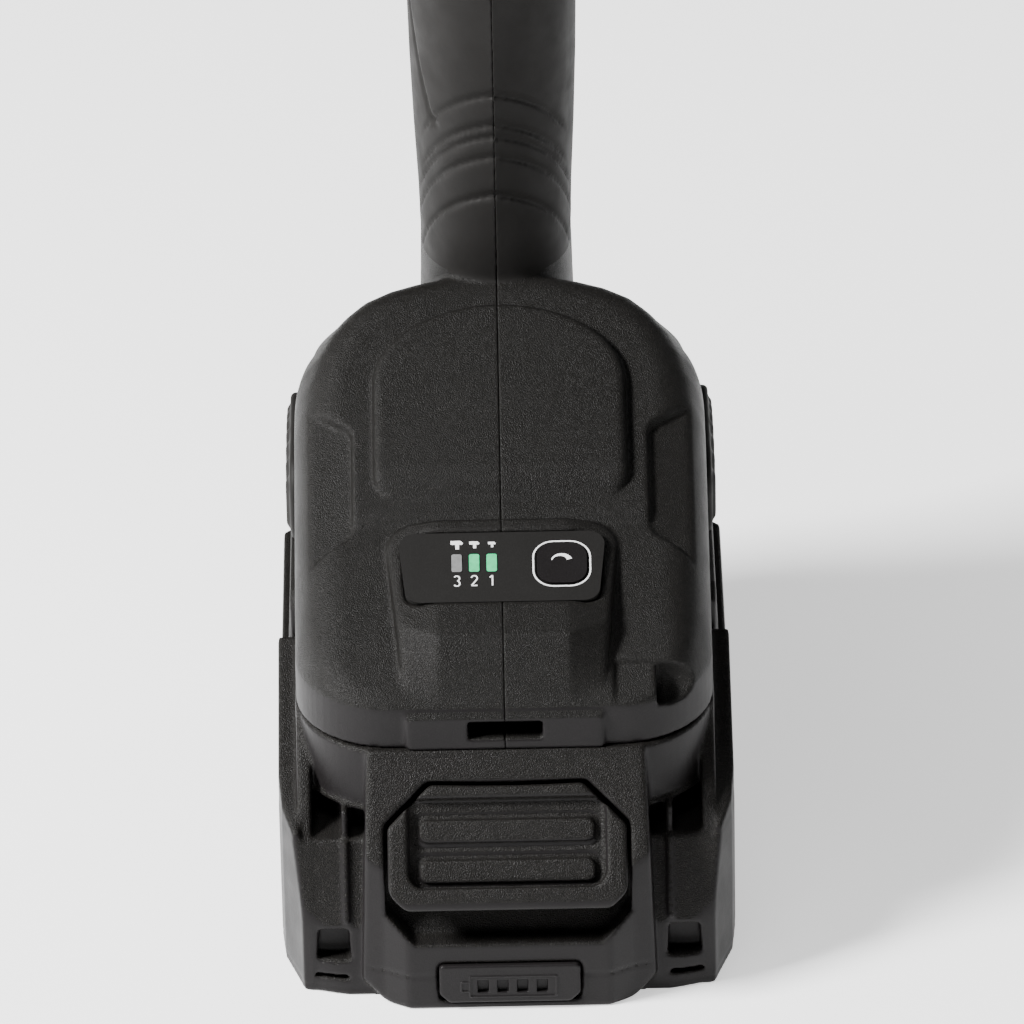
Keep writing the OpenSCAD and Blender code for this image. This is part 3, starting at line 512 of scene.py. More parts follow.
def roof(ax, y, z):
    """The tilted top with the band that rolls over its arched edge; also the height over the top."""
    _, out = plane_frame(y, z, DOME_PLANE)
    drop = out / math.cos(math.radians(DOME_PLANE[2]))
    band = (polygon(ax, y, BAND_EDGE) * BAND_SLOPE + drop) / math.hypot(1, BAND_SLOPE)
    tail = polygon(ax, y, TAIL_EDGE) - 3.5
    steep = (tail * 2 * BAND_SLOPE + drop) / math.hypot(1, 2 * BAND_SLOPE)
    return smooth_max(smooth_max(out, band, 3.4), steep, 3.0), out


def dome(ax, y, z):
    """The foot's dome, its front slope and the flange at its lower edge."""
    side = polygon(y, z, [(14.6, FOOT_Z - 9), (14.6, 55.4), (28.6, 66.3), (48.4, 74.2), (48.4, 120),
                          (138, 120), (138, FOOT_Z - 9)])
    lean = 0.45 * np.clip(z - 55.6, 0, 9) * np.clip((52 - y) / 30, 0, 1)
    plan = polygon(ax, y - lean, FOOT_PLAN)
    top, out = roof(ax, y, z)
    d = smooth_max(smooth_max(side, plan, 1.2), top, 3.0)
    pocket = polygon(ax, y, [(27.3, 48.6), (27.3, 66.4), (28.2, 67.8), (34, 71.8), (60, 88), (60, 26),
                             (34, 43.6), (28, 47.2)])
    floor = out + 1.3 + 0.16 * (ax - 27.3)
    return cut(d, smooth_max(pocket, -floor, 0.4), 0.6)


def dome_pad(ax, y, z):
    """The smooth pad on the dome, square at the front and arched at the rear."""
    half_w, arch_from = 23.3, 30.5
    along, out = plane_frame(y, z, DOME_PLANE)
    front = rounded_box(ax, along - 25, half_w, 20.2, 6)
    arch = (np.hypot(ax / half_w, (along - arch_from) / 17) - 1) * 19
    outline = np.where(along > arch_from, arch, front)
    low_edge = 0.45 * (5.0 - along) + 0.89 * (out + 0.4)
    d = smooth_max(outline, out - 2.15, 1.5)
    return smooth_max(smooth_max(d, low_edge, 1.0), -out - 3, 0.1)


def beak(ax, y, z):
    """The block under the panel, which runs down to a lip over the pack."""
    rise = np.clip((z - 53.2) / 13, 0, 1)
    warp = 0.6 * np.maximum(ax - 12, 0) * rise
    body = polygon(y - warp, z, [(14.2, FOOT_Z), (14.5, 53.0), (22, 66.3), (48.4, 75.9), (58, 76),
                                 (58, FOOT_Z)])
    along, _ = plane_frame(y, z, PANEL_PLANE)
    side_x = 18.2 + 3.3 * np.clip((y - 14.3) / 32, 0, 1)
    wide = 21.5
    corner = rounded_box(ax * wide / side_x, along - 10, wide, 17.9, 6)
    sides = np.where(along > 10, corner, (ax - side_x) * 0.98)
    return smooth_max(body, sides, 1.1)


def grip_section(z):
    """The grip's middle in y, half width and half depth at a height."""
    levels = [r[0] for r in GRIP_RINGS]
    return [np.interp(z, levels, [r[i] for r in GRIP_RINGS]) for i in (1, 2, 3)]


def grip(ax, y, z):
    """The grip, with a soft crease down the finger side and grooves that wrap round it."""
    middle, half_w, half_d = grip_section(z)
    crease = np.clip((z - 106) / 12, 0, 1) * np.clip((middle - y) / 8, 0, 1)
    y_front = y - 1.1 * crease * (1 - np.exp(-ax / 5))
    u = ax / half_w
    v = np.abs(y_front - middle) / half_d
    d = ((u ** GRIP_POWER + v ** GRIP_POWER) ** (1 / GRIP_POWER) - 1) * 15
    back = y - (middle - half_d)
    for level, reach in GRIP_LINES:
        line = (z + 1.45 * back - level) * 0.6
        d = groove(d, line, 0.42, 0.5 * np.clip((reach - ax) / 1.5, 0, 1))
    return d


def overmould_line(d, x, y, z):
    """The edge of the rubber on the left: down the grip's side, then a short turn to the front."""
    turn_y, turn_z = 97.3, 131.5
    down = np.abs(y - turn_y - 0.152 * (z - 132)) + 4 * np.clip(turn_z - z, 0, 9)
    turn = np.hypot(z - turn_z - 0.5 * (turn_y - y), np.maximum(np.abs(y - 96.6) - 0.8, 0))
    return groove(d, np.where(np.abs(x) > 10, np.minimum(down, turn), 9.0), 0.45, 0.45)


def head(ax, y, z):
    """The motor housing, its lower saddle and the rail on top."""
    radius = np.hypot(ax, z - AXIS_Z)
    barrel = np.maximum(radius - HEAD_R, slab(y, HEAD_Y0, HEAD_Y1))
    front_ring = np.maximum(radius - HEAD_R, slab(y, HEAD_Y0, HEAD_Y0 + 3))
    waist_room = slab(y, HEAD_Y0 + 5, WAIST_Y)
    waist = smooth_max(radius - HEAD_R + 1.2, waist_room, 0.6)
    barrel = np.minimum(smooth_max(barrel, -waist_room, 0.6), np.minimum(waist, front_ring))
    saddle = smooth_max(ax - 15, polygon(y, z, [(76, 198), (124, 198), (130, 204), (130, 240), (76, 240)]), 2)
    rail = smooth_max(ax - 9, polygon(y, z, [(82, 270), (88, 278.4), (140, 278.4), (148, 270), (148, 240),
                                             (82, 240)]), 1.5)
    d = smooth_min(smooth_min(barrel, saddle, 3), rail, 0.7)
    lug_r, lug_turn = 36, math.radians(40)
    for sign in (-1, 1, -1, 1):     # each lug is joined twice, which thickens its root
        lug_z = AXIS_Z + sign * lug_r * math.sin(lug_turn)
        lug = np.hypot(ax - lug_r * math.cos(lug_turn), z - lug_z) - 4.3
        d = smooth_min(d, smooth_max(lug, slab(y, HEAD_Y0, HEAD_Y0 + 14), 1), 1.5)
    for i in range(5):
        vent = rounded_box(y - 129 - 4 * i, z - AXIS_Z, 1.0, 11, 0.9)
        d = cut(d, np.maximum(vent, 30.5 - ax), 0.3)
    return d


def housing(x, y, z):
    """Everything that both halves share, as one field; x is 0 at the seam."""
    ax = np.abs(x)
    d = grip(ax, y, z)
    if (z < FOOT_LIMIT).any():
        foot = smooth_min(dome(ax, y, z), dome_pad(ax, y, z), 0.5)
        foot = smooth_min(foot, beak(ax, y, z), 0.5)
        d = smooth_min(foot, d, 1.1)
        d = foot_openings(d, x, y, z)
    if (z > HEAD_LIMIT).any():
        d = np.maximum(smooth_min(d, head(ax, y, z), 2), z - HEAD_TOP)
        d = cut(d, np.hypot(ax, z - AXIS_Z) - MOTOR_BAY_R, 0.1)
        d = trigger_openings(d, ax, y, z)
    return d


def foot_openings(d, x, y, z):
    """The underside, the panel's seat, the lip's slot and the places for latch and terminals."""
    ax = np.abs(x)
    d = np.maximum(d, FOOT_Z - z)
    along, out = plane_frame(y, z, PANEL_PLANE)
    w = along - PANEL_MIDDLE
    seat = rounded_box(x * (17.95 / (17.95 + 0.045 * w)), w, 18.15, 8.35, 3.1)
    d = cut(d, np.maximum(seat, -2.5 - out), 0.35)
    slot = np.maximum(rounded_box(ax, z - 50.6, 6.8, 1.75, 0.5), y - 22)
    d = cut(d, slot, 0.25)
    catch = polygon(y, z, [(16.1, FOOT_Z - 1), (19.4, FOOT_Z + 4), (19.4, FOOT_Z + 5.6),
                           (27.2, FOOT_Z + 5.6), (27.2, FOOT_Z - 1)])
    latch = np.maximum(ax - 9.1, catch)
    d = cut(d, latch, 0.25)
    block = meet(ax - 18.6, slab(y, PACK_L - 26.2, PACK_L - 0.6), z - FOOT_Z - 8)
    d = cut(d, block, 0.25)
    seat = rounded_box(y - BUMPER_Y, z - BUMPER_Z, 18.1, 9.3, 7.4)
    return cut(d, np.maximum(seat, 37.4 - ax), 0.2)


def skirts(ax, y, z):
    """The side skirt and, inside it, the rail that the pack slides on."""
    skirt = smooth_max(slab(ax, 37.6, 39.5), polygon(y, z, [(57, 30.6), (57, 52), (60, 54.3), (111, 54.3),
                                                            (131.8, 43.6), (131.8, 30.6)]), 0.5)
    rail = meet(slab(ax, 34.2, 40), slab(y, 59, 127), slab(z, 39.2, 42.8))
    return np.minimum(skirt, rail)


def trigger_openings(d, ax, y, z):
    """The places for the trigger, the direction lever and the work light."""
    key = np.maximum(rounded_box(ax, z - TRIGGER_Z, 7.3, 14.8, 1.2), slab(y, 60, 95))
    lever = np.maximum(rounded_box(y - 90, z - 206, 3.35, 3.15, 0.6), 9 - ax)
    light = np.maximum(np.hypot(ax, z - 203) - 3.3, slab(y, 60, 81))
    for hole in (key, lever, light):
        d = cut(d, hole, 0.3)
    return d


def screw_recess(d, x, y, z):
    """The recess in the right flank: a shallow land with a deep screw hole at its outer end."""
    land = smooth_max(np.maximum(20 - x, y - 22.6), 55.2 + 0.58 * (y - 15.5) - z, 0.3)
    land = smooth_max(land, x - 36.4, 0.5)
    bore = np.maximum(np.hypot(y - 19.6, z - 57) - 3.8, 27.6 - x)
    return cut(cut(d, land, 0.2), bore, 0.25)


# Screws from the right: y, z, and the depth of each hole's floor, measured from the seam
SCREW_PLACES = ((124, 58, 26), (120, 78, 16), (112, 203.9, 8), (83.4, 203.6, 8),
                (92, 274.4, 5), (138, 274.4, 5))


def screw_holes(d, x, y, z):
    """The holes that the housing screws sit in."""
    for sy, sz, depth in SCREW_PLACES:
        if z.min() - 5 < sz < z.max() + 5:
            d = cut(d, np.maximum(np.hypot(y - sy, z - sz) - 3.3, depth - x), 0.3)
    return d


SEAM = 0.02        # half the gap between the two halves
SHELL_STEP = 0.5
SKIRT_LIMIT = 60   # the skirts and the screw recess lie below this height


def housing_half(right):
    """One half of the housing from the seam outwards, as seen from the right."""
    seam_columns = np.arange(-0.25, 0.6, 0.1)
    grid = Grid((-1, 11, 29), (44, 153, 280), SHELL_STEP, seam_columns)

    def half(x, y, z):
        d = housing(x, y, z)
        if z.min() < SKIRT_LIMIT:
            d = smooth_min(d, skirts(np.abs(x), y, z), 0.4)
        if not right and z.max() > 120:
            d = overmould_line(d, x, y, z)
        if right:
            d = screw_holes(d, x, y, z)
        if right and z.min() < SKIRT_LIMIT:
            d = screw_recess(d, x, y, z)
        return smooth_max(d, SEAM - x, 0.08)

    grid.fill((-1, 11, 29), (44, 142, 108), half)
    grid.fill((-1, 68, 106), (20, 140, 200), half)
    grid.fill((-1, 66, 196), (44, 153, 280), half)
    return surface(grid)


def build_housing():
    """Both halves of the housing, with the grip's soft overmould on them."""
    for side, mirror in (("right", False), ("left", True)):
        points, quads = housing_half(side == "right")
        shell = piece("shell_" + side, points, quads, "tool", "shell_plastic", SHELL, mirror)
        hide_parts("housing_" + side, "grip_" + side)
        paint_zones(shell)


def paint_zones(shell):
    """The rubber of the grip and the smooth upright faces are set face by face; the upright faces' lighter,
    purple-tinted plastic is a painted sheen of the pale floor.
    """
    shell.data.materials.append(GRIP)
    shell.data.materials.append(FINE_AND_SHEEN)
    mesh = shell.data
    x, y, z = face_values(mesh, "center") / MM
    y = y - FRONT_Y
    nz = face_values(mesh, "normal")[2]
    neck = z - 98.6 - 0.1 * np.abs(x)
    on_grip = (neck > 0) & (z < GRIP_TOP) & (np.abs(x) < 17.5) & (y > 70)
    # painted sheen: upright faces off the grip get the lighter, purple-tinted plastic
    upright_sheen = (nz < 0.35) & ~on_grip & ((z > FOOT_LIMIT) | (z < 54.6))
    index = np.where(on_grip, 1, np.where(upright_sheen, 2, 0)).astype(np.int32)
    mesh.polygons.foreach_set("material_index", index)
    mesh.update()


# ---------------------------------------------------------------- battery pack

# Right halves of the pack's outlines from above: the whole case, and the wall that stands over it
PACK_PLAN = [(-9, 0), (18.2, 0), (23, 2.8), (28, 4.4), (37.7, 7.5), (41.3, 18.6), (41.95, 26), (42, 123),
             (37, 128), (-9, 128)]
WALL_PLAN = ([(-9, 14.2), (18, 14.2)] + arc_points(20, 34, 18, 19.8, -88, 0, 16)
             + [(38, 60), (38, 128), (-9, 128)])
GAUGE_Z = 5.6
CELL_PITCH = 3.6                # between the four windows of the charge gauge
LATCH_RIBS = (4.3, 11.6)        # along the slope


def centre_block(ax, y, z):
    """The middle of the pack, whose front slope carries the latch button."""
    side = polygon(y, z, [(0, 0), (0, 24.6), (14.2, PACK_TOP), (PACK_L, PACK_TOP), (PACK_L, 0)])
    half = 27.1 - 0.037 * z
    corner = (ax - 0.9 * z - 22.2) * 0.74 - 0.3 * np.maximum(y - 2, 0)
    return smooth_max(side, smooth_max(ax - half, corner, 0.5), 0.9)


def cheek(ax, y, z):
    """The lower parts of the pack beside the middle block, with their pockets."""
    plan = polygon(ax, y, PACK_PLAN)
    wall = polygon(ax, y, WALL_PLAN)
    side = polygon(y, z, [(5.4, 0), (6.6, 13.7), (12.2, 29), (13.6, 60), (PACK_L, 60), (PACK_L, 0)])
    low = smooth_max(smooth_max(side, plan, 0.8), z - 29.2, 0.7)
    ledge = smooth_max(smooth_max(plan, 37.8 - ax, 0.3), z - 29 - 0.372 * (y - 8), 0.5)
    ledge = smooth_max(ledge, side, 0.7)
    upper = smooth_max(smooth_max(wall, z - PACK_TOP, 0.6), 33.6 - z, 0.7)
    post = smooth_max(slab(ax, 35.6, 38.3), z - 29 - 0.95 * (y - 12.4), 0.8)
    post = np.maximum(smooth_max(post, side, 0.8), z - PACK_TOP)
    back = meet(wall + 2.6, z - 36, 26 - z)
    d = smooth_min(np.minimum(low, back), smooth_min(upper, post, 1.0), 0.5)
    d = smooth_min(d, ledge, 0.8)
    rib = smooth_max(slab(ax, 29.0, 30.2), np.maximum(side, 5.6 - y) - 0.8, 0.5)
    rib = smooth_max(rib, slab(z, 14.6, 34.5), 0.6)
    rib = np.maximum(rib, 12.9 + 0.2 * (z - 30) - y - 30 * np.clip(29.2 - z, 0, 1))
    d = smooth_min(d, rib, 0.4)
    bead = np.hypot(wall - 0.1, z - 34.2) - 0.45
    d = smooth_min(d, np.maximum(bead, ax - 37.6), 0.5)
    small = np.maximum(rounded_box(ax - 32.05, z - 10.2, 2.95 - 0.05 * (z - 10), 3.2, 0.7), y - 9.8)
    return cut(d, small, 0.5)


def button_outline(x, w, half, low, high, corner):
    """An octagon with small lower and large upper corners, in the slope's frame."""
    ax = np.abs(x)
    d = np.maximum(ax - half, np.maximum(low - w, w - high))
    upper = (ax + w - (half + high - corner)) * DIAGONAL
    lower = (ax - w - (half - low - 4.6)) * DIAGONAL
    return smooth_max(smooth_max(d, upper, 0.6), lower, 0.6)


def slope_sag(x):
    """How far the latch button's upper and lower edges bow in the middle."""
    return 0.45 * np.clip(1 - (x / 17) ** 2, 0, 1)


def latch_opening(x, y, z):
    """The opening round the latch button, with its ledge and chamfered lower corners."""
    ax = np.abs(x)
    w, out = plane_frame(y, z, BUTTON_PLANE)
    ledge_z = 13.7
    hole = button_outline(x, w + slope_sag(x), 22.45, -11.6, 20.9, 8.0)
    hole = smooth_max(hole, -9.4 - out, 0.4)
    hole = smooth_max(hole, ledge_z + 0.06 * y - z, 0.5)
    hole = smooth_max(hole, (ax - (z - ledge_z) - 17) * DIAGONAL, 0.4)
    return smooth_max(hole, np.where(z < 19.5, y - 8.4, -9.0), 0.3)


def pack_case(x, y, z):
    """The two halves of the pack's case as one shell, with a groove where they meet."""
    ax = np.abs(x)
    d = smooth_min(centre_block(ax, y, z), cheek(ax, y, z), 0.7)
    d = smooth_max(d, polygon(ax, y, PACK_PLAN), 0.7)
    d = cut(d, latch_opening(x, y, z), 0.45)
    gauge = smooth_max(rounded_box(ax, z - 5.62, 13.12, 4.12, 1.2), y - 1.7, 0.2)
    d = cut(d, gauge, 0.35)
    seam_z = np.where((ax < 26.9) & (y < 4), 7.0, 1.3)
    d = groove(d, z - seam_z, 0.25, 0.2)
    slit = np.maximum(rounded_box(ax - 32.5, z - 3.6, 3.1, 0.42, 0.4), y - 8)
    d = cut(d, slit, 0.1)
    for sx, sy in ((32.6, 11.4), (34.6, PACK_L - 8)):
        screw = np.maximum(np.hypot(ax - sx, y - sy) - 3.1, z - 1.5)
        d = cut(d, screw, 0.2)
    return pack_channels(d, ax, y, z)


def pack_channels(d, ax, y, z):
    """Room for the foot's skirts, rails and terminal block, and for the latch's hook."""
    channel_y = 56
    out = plane_frame(y, z, BUTTON_PLANE)[1]
    channel = meet(37.3 - ax, 30.2 - z, channel_y - y)
    rail = meet(33.9 - ax, slab(z, 38.9, 43.1), channel_y - y)
    hook = meet(ax - HOOK_ROOM, slab(y, 15.2, 24.8), 38.5 - z)
    under = meet(ax - HOOK_ROOM, slab(y, 8, 24.8), slab(z, 28.4, 45), out + 5)
    block = meet(ax - 20.4, PACK_L - 28.4 - y, 40.8 - z)
    for room in (channel, rail, hook, under, block):
        d = cut(d, room, 0.25)
    for x0 in (0, 8, 16):
        slot = meet(np.abs(ax - x0) - 0.9, 86 - y, 41.2 - z)
        d = cut(d, slot, 0.1)
    return d


def latch_button(x, y, z):
    """The latch button: a dished key with two ribs, and the hook behind it."""
    ax = np.abs(x)
    w, out = plane_frame(y, z, BUTTON_PLANE)
    foot_z = 21.7
    body = smooth_max(button_outline(x, w + slope_sag(x), 21.8, -6, 20.25, 7.9), out - 0.55, 0.9)
    body = smooth_max(body, -8.4 - out, 0.3)
    body = smooth_max(body, foot_z - z, 0.6)
    body = smooth_max(body, -1.35 - y, 1.0)
    body = smooth_max(body, (ax - (z - foot_z) - 18.6) * DIAGONAL, 0.8)
    dish = smooth_max(rounded_box(x, w - 9.4, 18.0, 8.1, 3.0), -1.5 - out, 1.1)
    body = cut(body, dish, 0.9)
    for middle in LATCH_RIBS:
        bar = smooth_max(rounded_box(x, w - middle, 16.0, 2.1, 1.5), out + 0.6, 0.6)
        body = smooth_min(body, np.maximum(bar, -2 - out), 0.35)
        rim = rounded_box(x, w - middle, 16.9, 2.9, 2.0)
        body = groove(body, np.hypot(rim, np.maximum(np.abs(out + 1.3) - 0.8, 0)), 0.32, 0.3)
    hook = polygon(y, z, [(13.5, 33.4), (20.1, 37.2), (20.1, 50.3), (21.6, 50.3), (23.9, 47.8),
                          (23.9, 33.4)])
    return np.minimum(body, smooth_max(ax - 8, hook, 0.4))


def gauge_plate(x, y, z):
    """The charge gauge's button, with a raised outline of a battery and four windows."""
    ax = np.abs(x)
    outline = rounded_box(ax, z - GAUGE_Z, 12.9, 3.95, 0.9)
    outline = smooth_max(outline, (ax - (z - 1.65) - 11.1) * DIAGONAL, 0.4)
    d = smooth_max(outline, slab(y, -0.58, 0.98), 0.5)
    d = np.maximum(d, -z + 1.62)
    sign_z = 5.2
    case_line = rounded_box(x - 0.6, z - sign_z, 7.9, 2.15, 0.2)
    nub = rounded_box(x + 8.1, z - sign_z, 0.8, 1.0, 0.2)
    frame_line = np.abs(np.minimum(case_line, nub)) - 0.14
    d = smooth_min(d, smooth_max(frame_line, slab(y, -0.78, 0), 0.1), 0.1)
    for i in range(4):
        window = rounded_box(x + 4.9 - CELL_PITCH * i, z - sign_z, 1.0, 1.35, 0.15)
        d = cut(d, np.maximum(window, slab(y, -2, 0.35)), 0.12)
    return d


def build_pack():
    """The pack's case, its latch button and its charge gauge."""
    case = moulded("pack_case", (-43, -1, -0.5), (43, 129, 47.5), 0.5, pack_case, "battery",
                   "shell_plastic", PACK)
    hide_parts("battery_upper_case", "battery_lower_case")
    button = moulded("latch_key", (-23, -3, 20), (23, 26, 52), 0.33, latch_button, "latch",
                     "button_plastic", PACK)
    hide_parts("latch_button")
    gauge = moulded("gauge_key", (-14, -1.4, 0.8), (14, 1.6, 10.4), 0.16, gauge_plate, "gauge",
                    "button_plastic", FINE_AND_SHEEN)
    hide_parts("gauge_button")
    smooth_and_sheen_faces(case)
    smooth_and_sheen_faces(button)


def smooth_and_sheen_faces(obj):
    """Upright faces come from the smooth side of the mould and get a lighter, purple-tinted plastic, a
    painted sheen of the pale floor; the others are spark-textured.
    """
    mesh = obj.data
    mesh.materials.append(FINE_AND_SHEEN)
    nz = face_values(mesh, "normal")[2]
    # painted sheen: upright faces get the lighter, purple-tinted plastic
    mesh.polygons.foreach_set("material_index", (np.abs(nz) < 0.28).astype(np.int32))
    mesh.update()


# ---------------------------------------------------------------- small outer pieces

def bumper(x, y, z):
    """The ribbed rubber pad on the foot's right side."""
    outline = rounded_box(y - BUMPER_Y, z - BUMPER_Z, 17.6, 8.8, 7)
    pad = smooth_max(outline, slab(x, 37.0, 39.35), 1.2)
    for i in range(-3, 4):
        rib = rounded_box(y - BUMPER_Y - 4.6 * i, z - BUMPER_Z, 1.9, 7.6 - 0.28 * i * i, 1.8)
        rib = smooth_max(rib, slab(x, 38, 40.1), 1.2)
        pad = smooth_min(pad, rib, 0.7)
    return pad


def build_bumpers():
    """The two side pads, one the mirror of the other."""
    low, high = (36, 74, 52), (42, 112, 72)
    grid = Grid(low, high, 0.4)
    grid.fill(low, high, bumper)
    points, quads = surface(grid)
    for side, mirror in (("right", False), ("left", True)):
        pad = piece("bumper_" + side, points, quads, "tool", "soft_grip", GRIP, mirror)
        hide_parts("side_bumper_" + side)


def trigger(x, y, z):
    """The trigger key, hollowed where the finger lies and crowned across."""
    ax = np.abs(x)
    side = polygon(y, z, [(84, 196.2), (74.6, 195.2), (72.2, 190.8), (74.4, 183), (74, 176),
                          (75.8, 170.4), (85.8, 169.8)])
    d = smooth_max(side, ax - 6.85, 2.4)
    crown = (74.2 - y) * 0.9 + 0.35 * ax - 1.4
    return smooth_max(d, crown, 1.2)


def build_trigger():
    """The trigger key as one moulded piece."""
    key = moulded("trigger_key", (-8, 70, 168), (8, 88, 198), 0.4, trigger, "trigger",
                  "button_plastic", FINE_AND_SHEEN)
    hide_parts("trigger")


# ---------------------------------------------------------------- springs

def coil(start, end, radius, wire, turns):
    """Points and quads of a coil spring of round wire between two points."""
    start, end = np.array(start, float), np.array(end, float)
    axis = (end - start) / np.linalg.norm(end - start)
    side = np.array([1.0, 0, 0])
    up = np.cross(axis, side)
    rings, around = int(turns * 20), 8
    points = []
    for i in range(rings + 1):
        turn = 2 * math.pi * turns * i / rings
        outward = math.cos(turn) * side + math.sin(turn) * up
        middle = start + axis * wire + (end - start - 2 * wire * axis) * i / rings + radius * outward
        thick = wire if 0 < i < rings else 0.01
        for k in range(around):
            a = 2 * math.pi * k / around
            points.append(middle + thick * (math.cos(a) * outward + math.sin(a) * axis))
    quads = [(i * around + k, i * around + (k + 1) % around, (i + 1) * around + (k + 1) % around,
              (i + 1) * around + k) for i in range(rings) for k in range(around)]
    return np.array(points), np.array(quads)


def spring(name, coils, body, node):
    """A spring of round-wire coils, with a mesh of its own."""
    count = 0
    points, quads = [], []
    for start, end, radius, wire, turns in coils:
        p, q = coil(start, end, radius, wire, turns)
        points.append(p)
        quads.append(q + count)
        count += len(p)
    obj = piece(name, np.concatenate(points), np.concatenate(quads), body, "spring_steel", BRIGHT_STEEL)
    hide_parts(node)
    start, end = coils[0][0], coils[0][1]
    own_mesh(obj)


def build_springs():
    """The coils behind the hammer, the trigger and the latch."""
    spring("hammer_coil", [((0, 38.1, AXIS_Z), (0, 61.3, AXIS_Z), 16.8, 2.3, 2.8)],
           "carrier", "hammer_spring")
    spring("trigger_coil", [((0, 77.3, TRIGGER_Z), (0, 92.2, TRIGGER_Z), 3.0, 0.35, 8)],
           "tool", "trigger_spring")
    _, z0, tilt = BUTTON_PLANE
    c, s = math.cos(math.radians(tilt)), math.sin(math.radians(tilt))
    depth = 5.8
    coils = []
    for x in (-9, 9):
        top, foot = [(x, w * c + depth * s, z0 + w * s - depth * c) for w in (12.4, -1.8)]
        coils.append((top, foot, 1.35, 0.25, 9))
    spring("latch_coils", coils, "battery", "latch_springs")


# ---------------------------------------------------------------- printed panel

def on_panel(points, lift):
    """Places flat points (across, along) on the panel's face, in the row frame."""
    y0, z0, tilt = PANEL_PLANE
    c, s = math.cos(math.radians(tilt)), math.sin(math.radians(tilt))
    placed = []
    for u, w in points:
        along = PANEL_MIDDLE + w
        placed.append(Vector((u, y0 + along * c - lift * s + FRONT_Y, z0 + along * s + lift * c)) * MM)
    return placed


def printed(name, outlines, lift=-0.37, thick=0.03, body="tool", material=None):
    """A thin layer of ink: each outline is a list of points, holes come as (outer, inner) pairs."""
    vertices, faces = [], []
    for outline in outlines:
        outer, inner = outline if isinstance(outline, tuple) else (outline, None)
        for level in (lift - thick, lift):
            vertices += on_panel(outer, level)
            if inner:
                vertices += on_panel(inner, level)
        n = len(outer)
        start = len(vertices) - (4 * n if inner else 2 * n)
        for i in range(n):
            j = (i + 1) % n
            if inner:
                a, b, c, d = start, start + n, start + 2 * n, start + 3 * n
                faces += [(c + i, c + j, d + j, d + i), (a + i, a + j, c + j, c + i),
                          (b + j, b + i, d + i, d + j), (a + j, a + i, b + i, b + j)]
            else:
                faces.append((start + i, start + j, start + n + j, start + n + i))
        if not inner:
            faces += [tuple(range(start + n, start + 2 * n)), tuple(reversed(range(start, start + n)))]
    mesh = bpy.data.meshes.new(name)
    mesh.from_pydata(vertices, [], faces)
    mesh.materials.append(material or PRINT)
    obj = add_object(name, mesh)
    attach(obj, body)
    return obj


def rounded_outline(cx, cy, half_w, half_h, r, steps=6):
    """The outline of a rectangle with round corners, as points."""
    points = []
    for qx, qy, start in ((1, 1, 0), (-1, 1, 90), (-1, -1, 180), (1, -1, 270)):
        for i in range(steps + 1):
            a = math.radians(start + 90 * i / steps)
            points.append((cx + qx * (half_w - r) + r * math.cos(a),
                           cy + qy * (half_h - r) + r * math.sin(a)))
    return points


def hammer_sign(cx, cy, s):
    """A plain hammer seen from the side: a curved head over a straight handle."""
    return [(cx - 0.42 * s, cy - 1.25 * s), (cx + 0.42 * s, cy - 1.25 * s), (cx + 0.42 * s, cy + 0.1 * s),
            (cx + 1.1 * s, cy + 0.1 * s), (cx + 1.35 * s, cy + 0.55 * s), (cx + 0.8 * s, cy + 1.25 * s),
            (cx - 1.5 * s, cy + 1.25 * s), (cx - 1.5 * s, cy + 0.2 * s), (cx - 0.9 * s, cy + 0.1 * s),
            (cx - 0.42 * s, cy + 0.1 * s)]


def stroke(points, width):
    """A band of even width along an open line, as a closed outline."""
    left, right = [], []
    for i, (x, y) in enumerate(points):
        x0, y0 = points[max(i - 1, 0)]
        x1, y1 = points[min(i + 1, len(points) - 1)]
        length = math.hypot(x1 - x0, y1 - y0)
        nx, ny = -(y1 - y0) / length * width / 2, (x1 - x0) / length * width / 2
        left.append((x + nx, y + ny))
        right.append((x - nx, y - ny))
    return left + right[::-1]


def digit_lines(digit):
    """Strokes of the digits 1 to 3 in a box 1 wide and 2 high, centred on zero."""
    def arc(cx, cy, r, a0, a1, n=10):
        return [(cx + r * math.cos(math.radians(a0 + (a1 - a0) * i / n)),
                 cy + r * math.sin(math.radians(a0 + (a1 - a0) * i / n))) for i in range(n + 1)]
    if digit == 1:
        return [[(-0.35, 0.6), (0.1, 1.0)], [(0.1, 1.0), (0.1, -1.0)]]
    if digit == 2:
        return [arc(0, 0.5, 0.5, 170, -35) + [(-0.5, -0.95)], [(-0.52, -0.95), (0.52, -0.95)]]
    return [arc(0, 0.5, 0.48, 150, -80), arc(0, -0.5, 0.52, 80, -150)]


LEVEL_X, LEVEL_PITCH = -8.3, 3.2
MODE_X, MODE_Y = 10.9, 0.5
DIAL_RX, DIAL_RY = 1.95, 1.75


def print_levels():
    """The three levels: a sign, a window and a digit each, with two of the windows lit."""
    for i in range(3):
        x = LEVEL_X + i * LEVEL_PITCH
        printed("hammer_sign_%d" % (3 - i), [hammer_sign(x + 0.15, 5.3, 0.8 - 0.15 * i)])
        strokes = [stroke([(x + 1.05 * u, -3.2 + 1.2 * v) for u, v in line], 0.26)
                   for line in digit_lines(3 - i)]
        printed("digit_%d" % (3 - i), strokes)
        window = rounded_outline(x, 1.0, 0.95, 2.1, 0.4)
        lamp = UNLIT if i == 0 else GREEN
        printed("level_window_%d" % (3 - i), [window], -0.36, 0.05, material=lamp)
        bezel = rounded_outline(x, 1.0, 1.05, 2.2, 0.45)
        printed("level_rim_%d" % (3 - i), [(bezel, window)], -0.34, 0.05, material=FINE_AND_SHEEN)


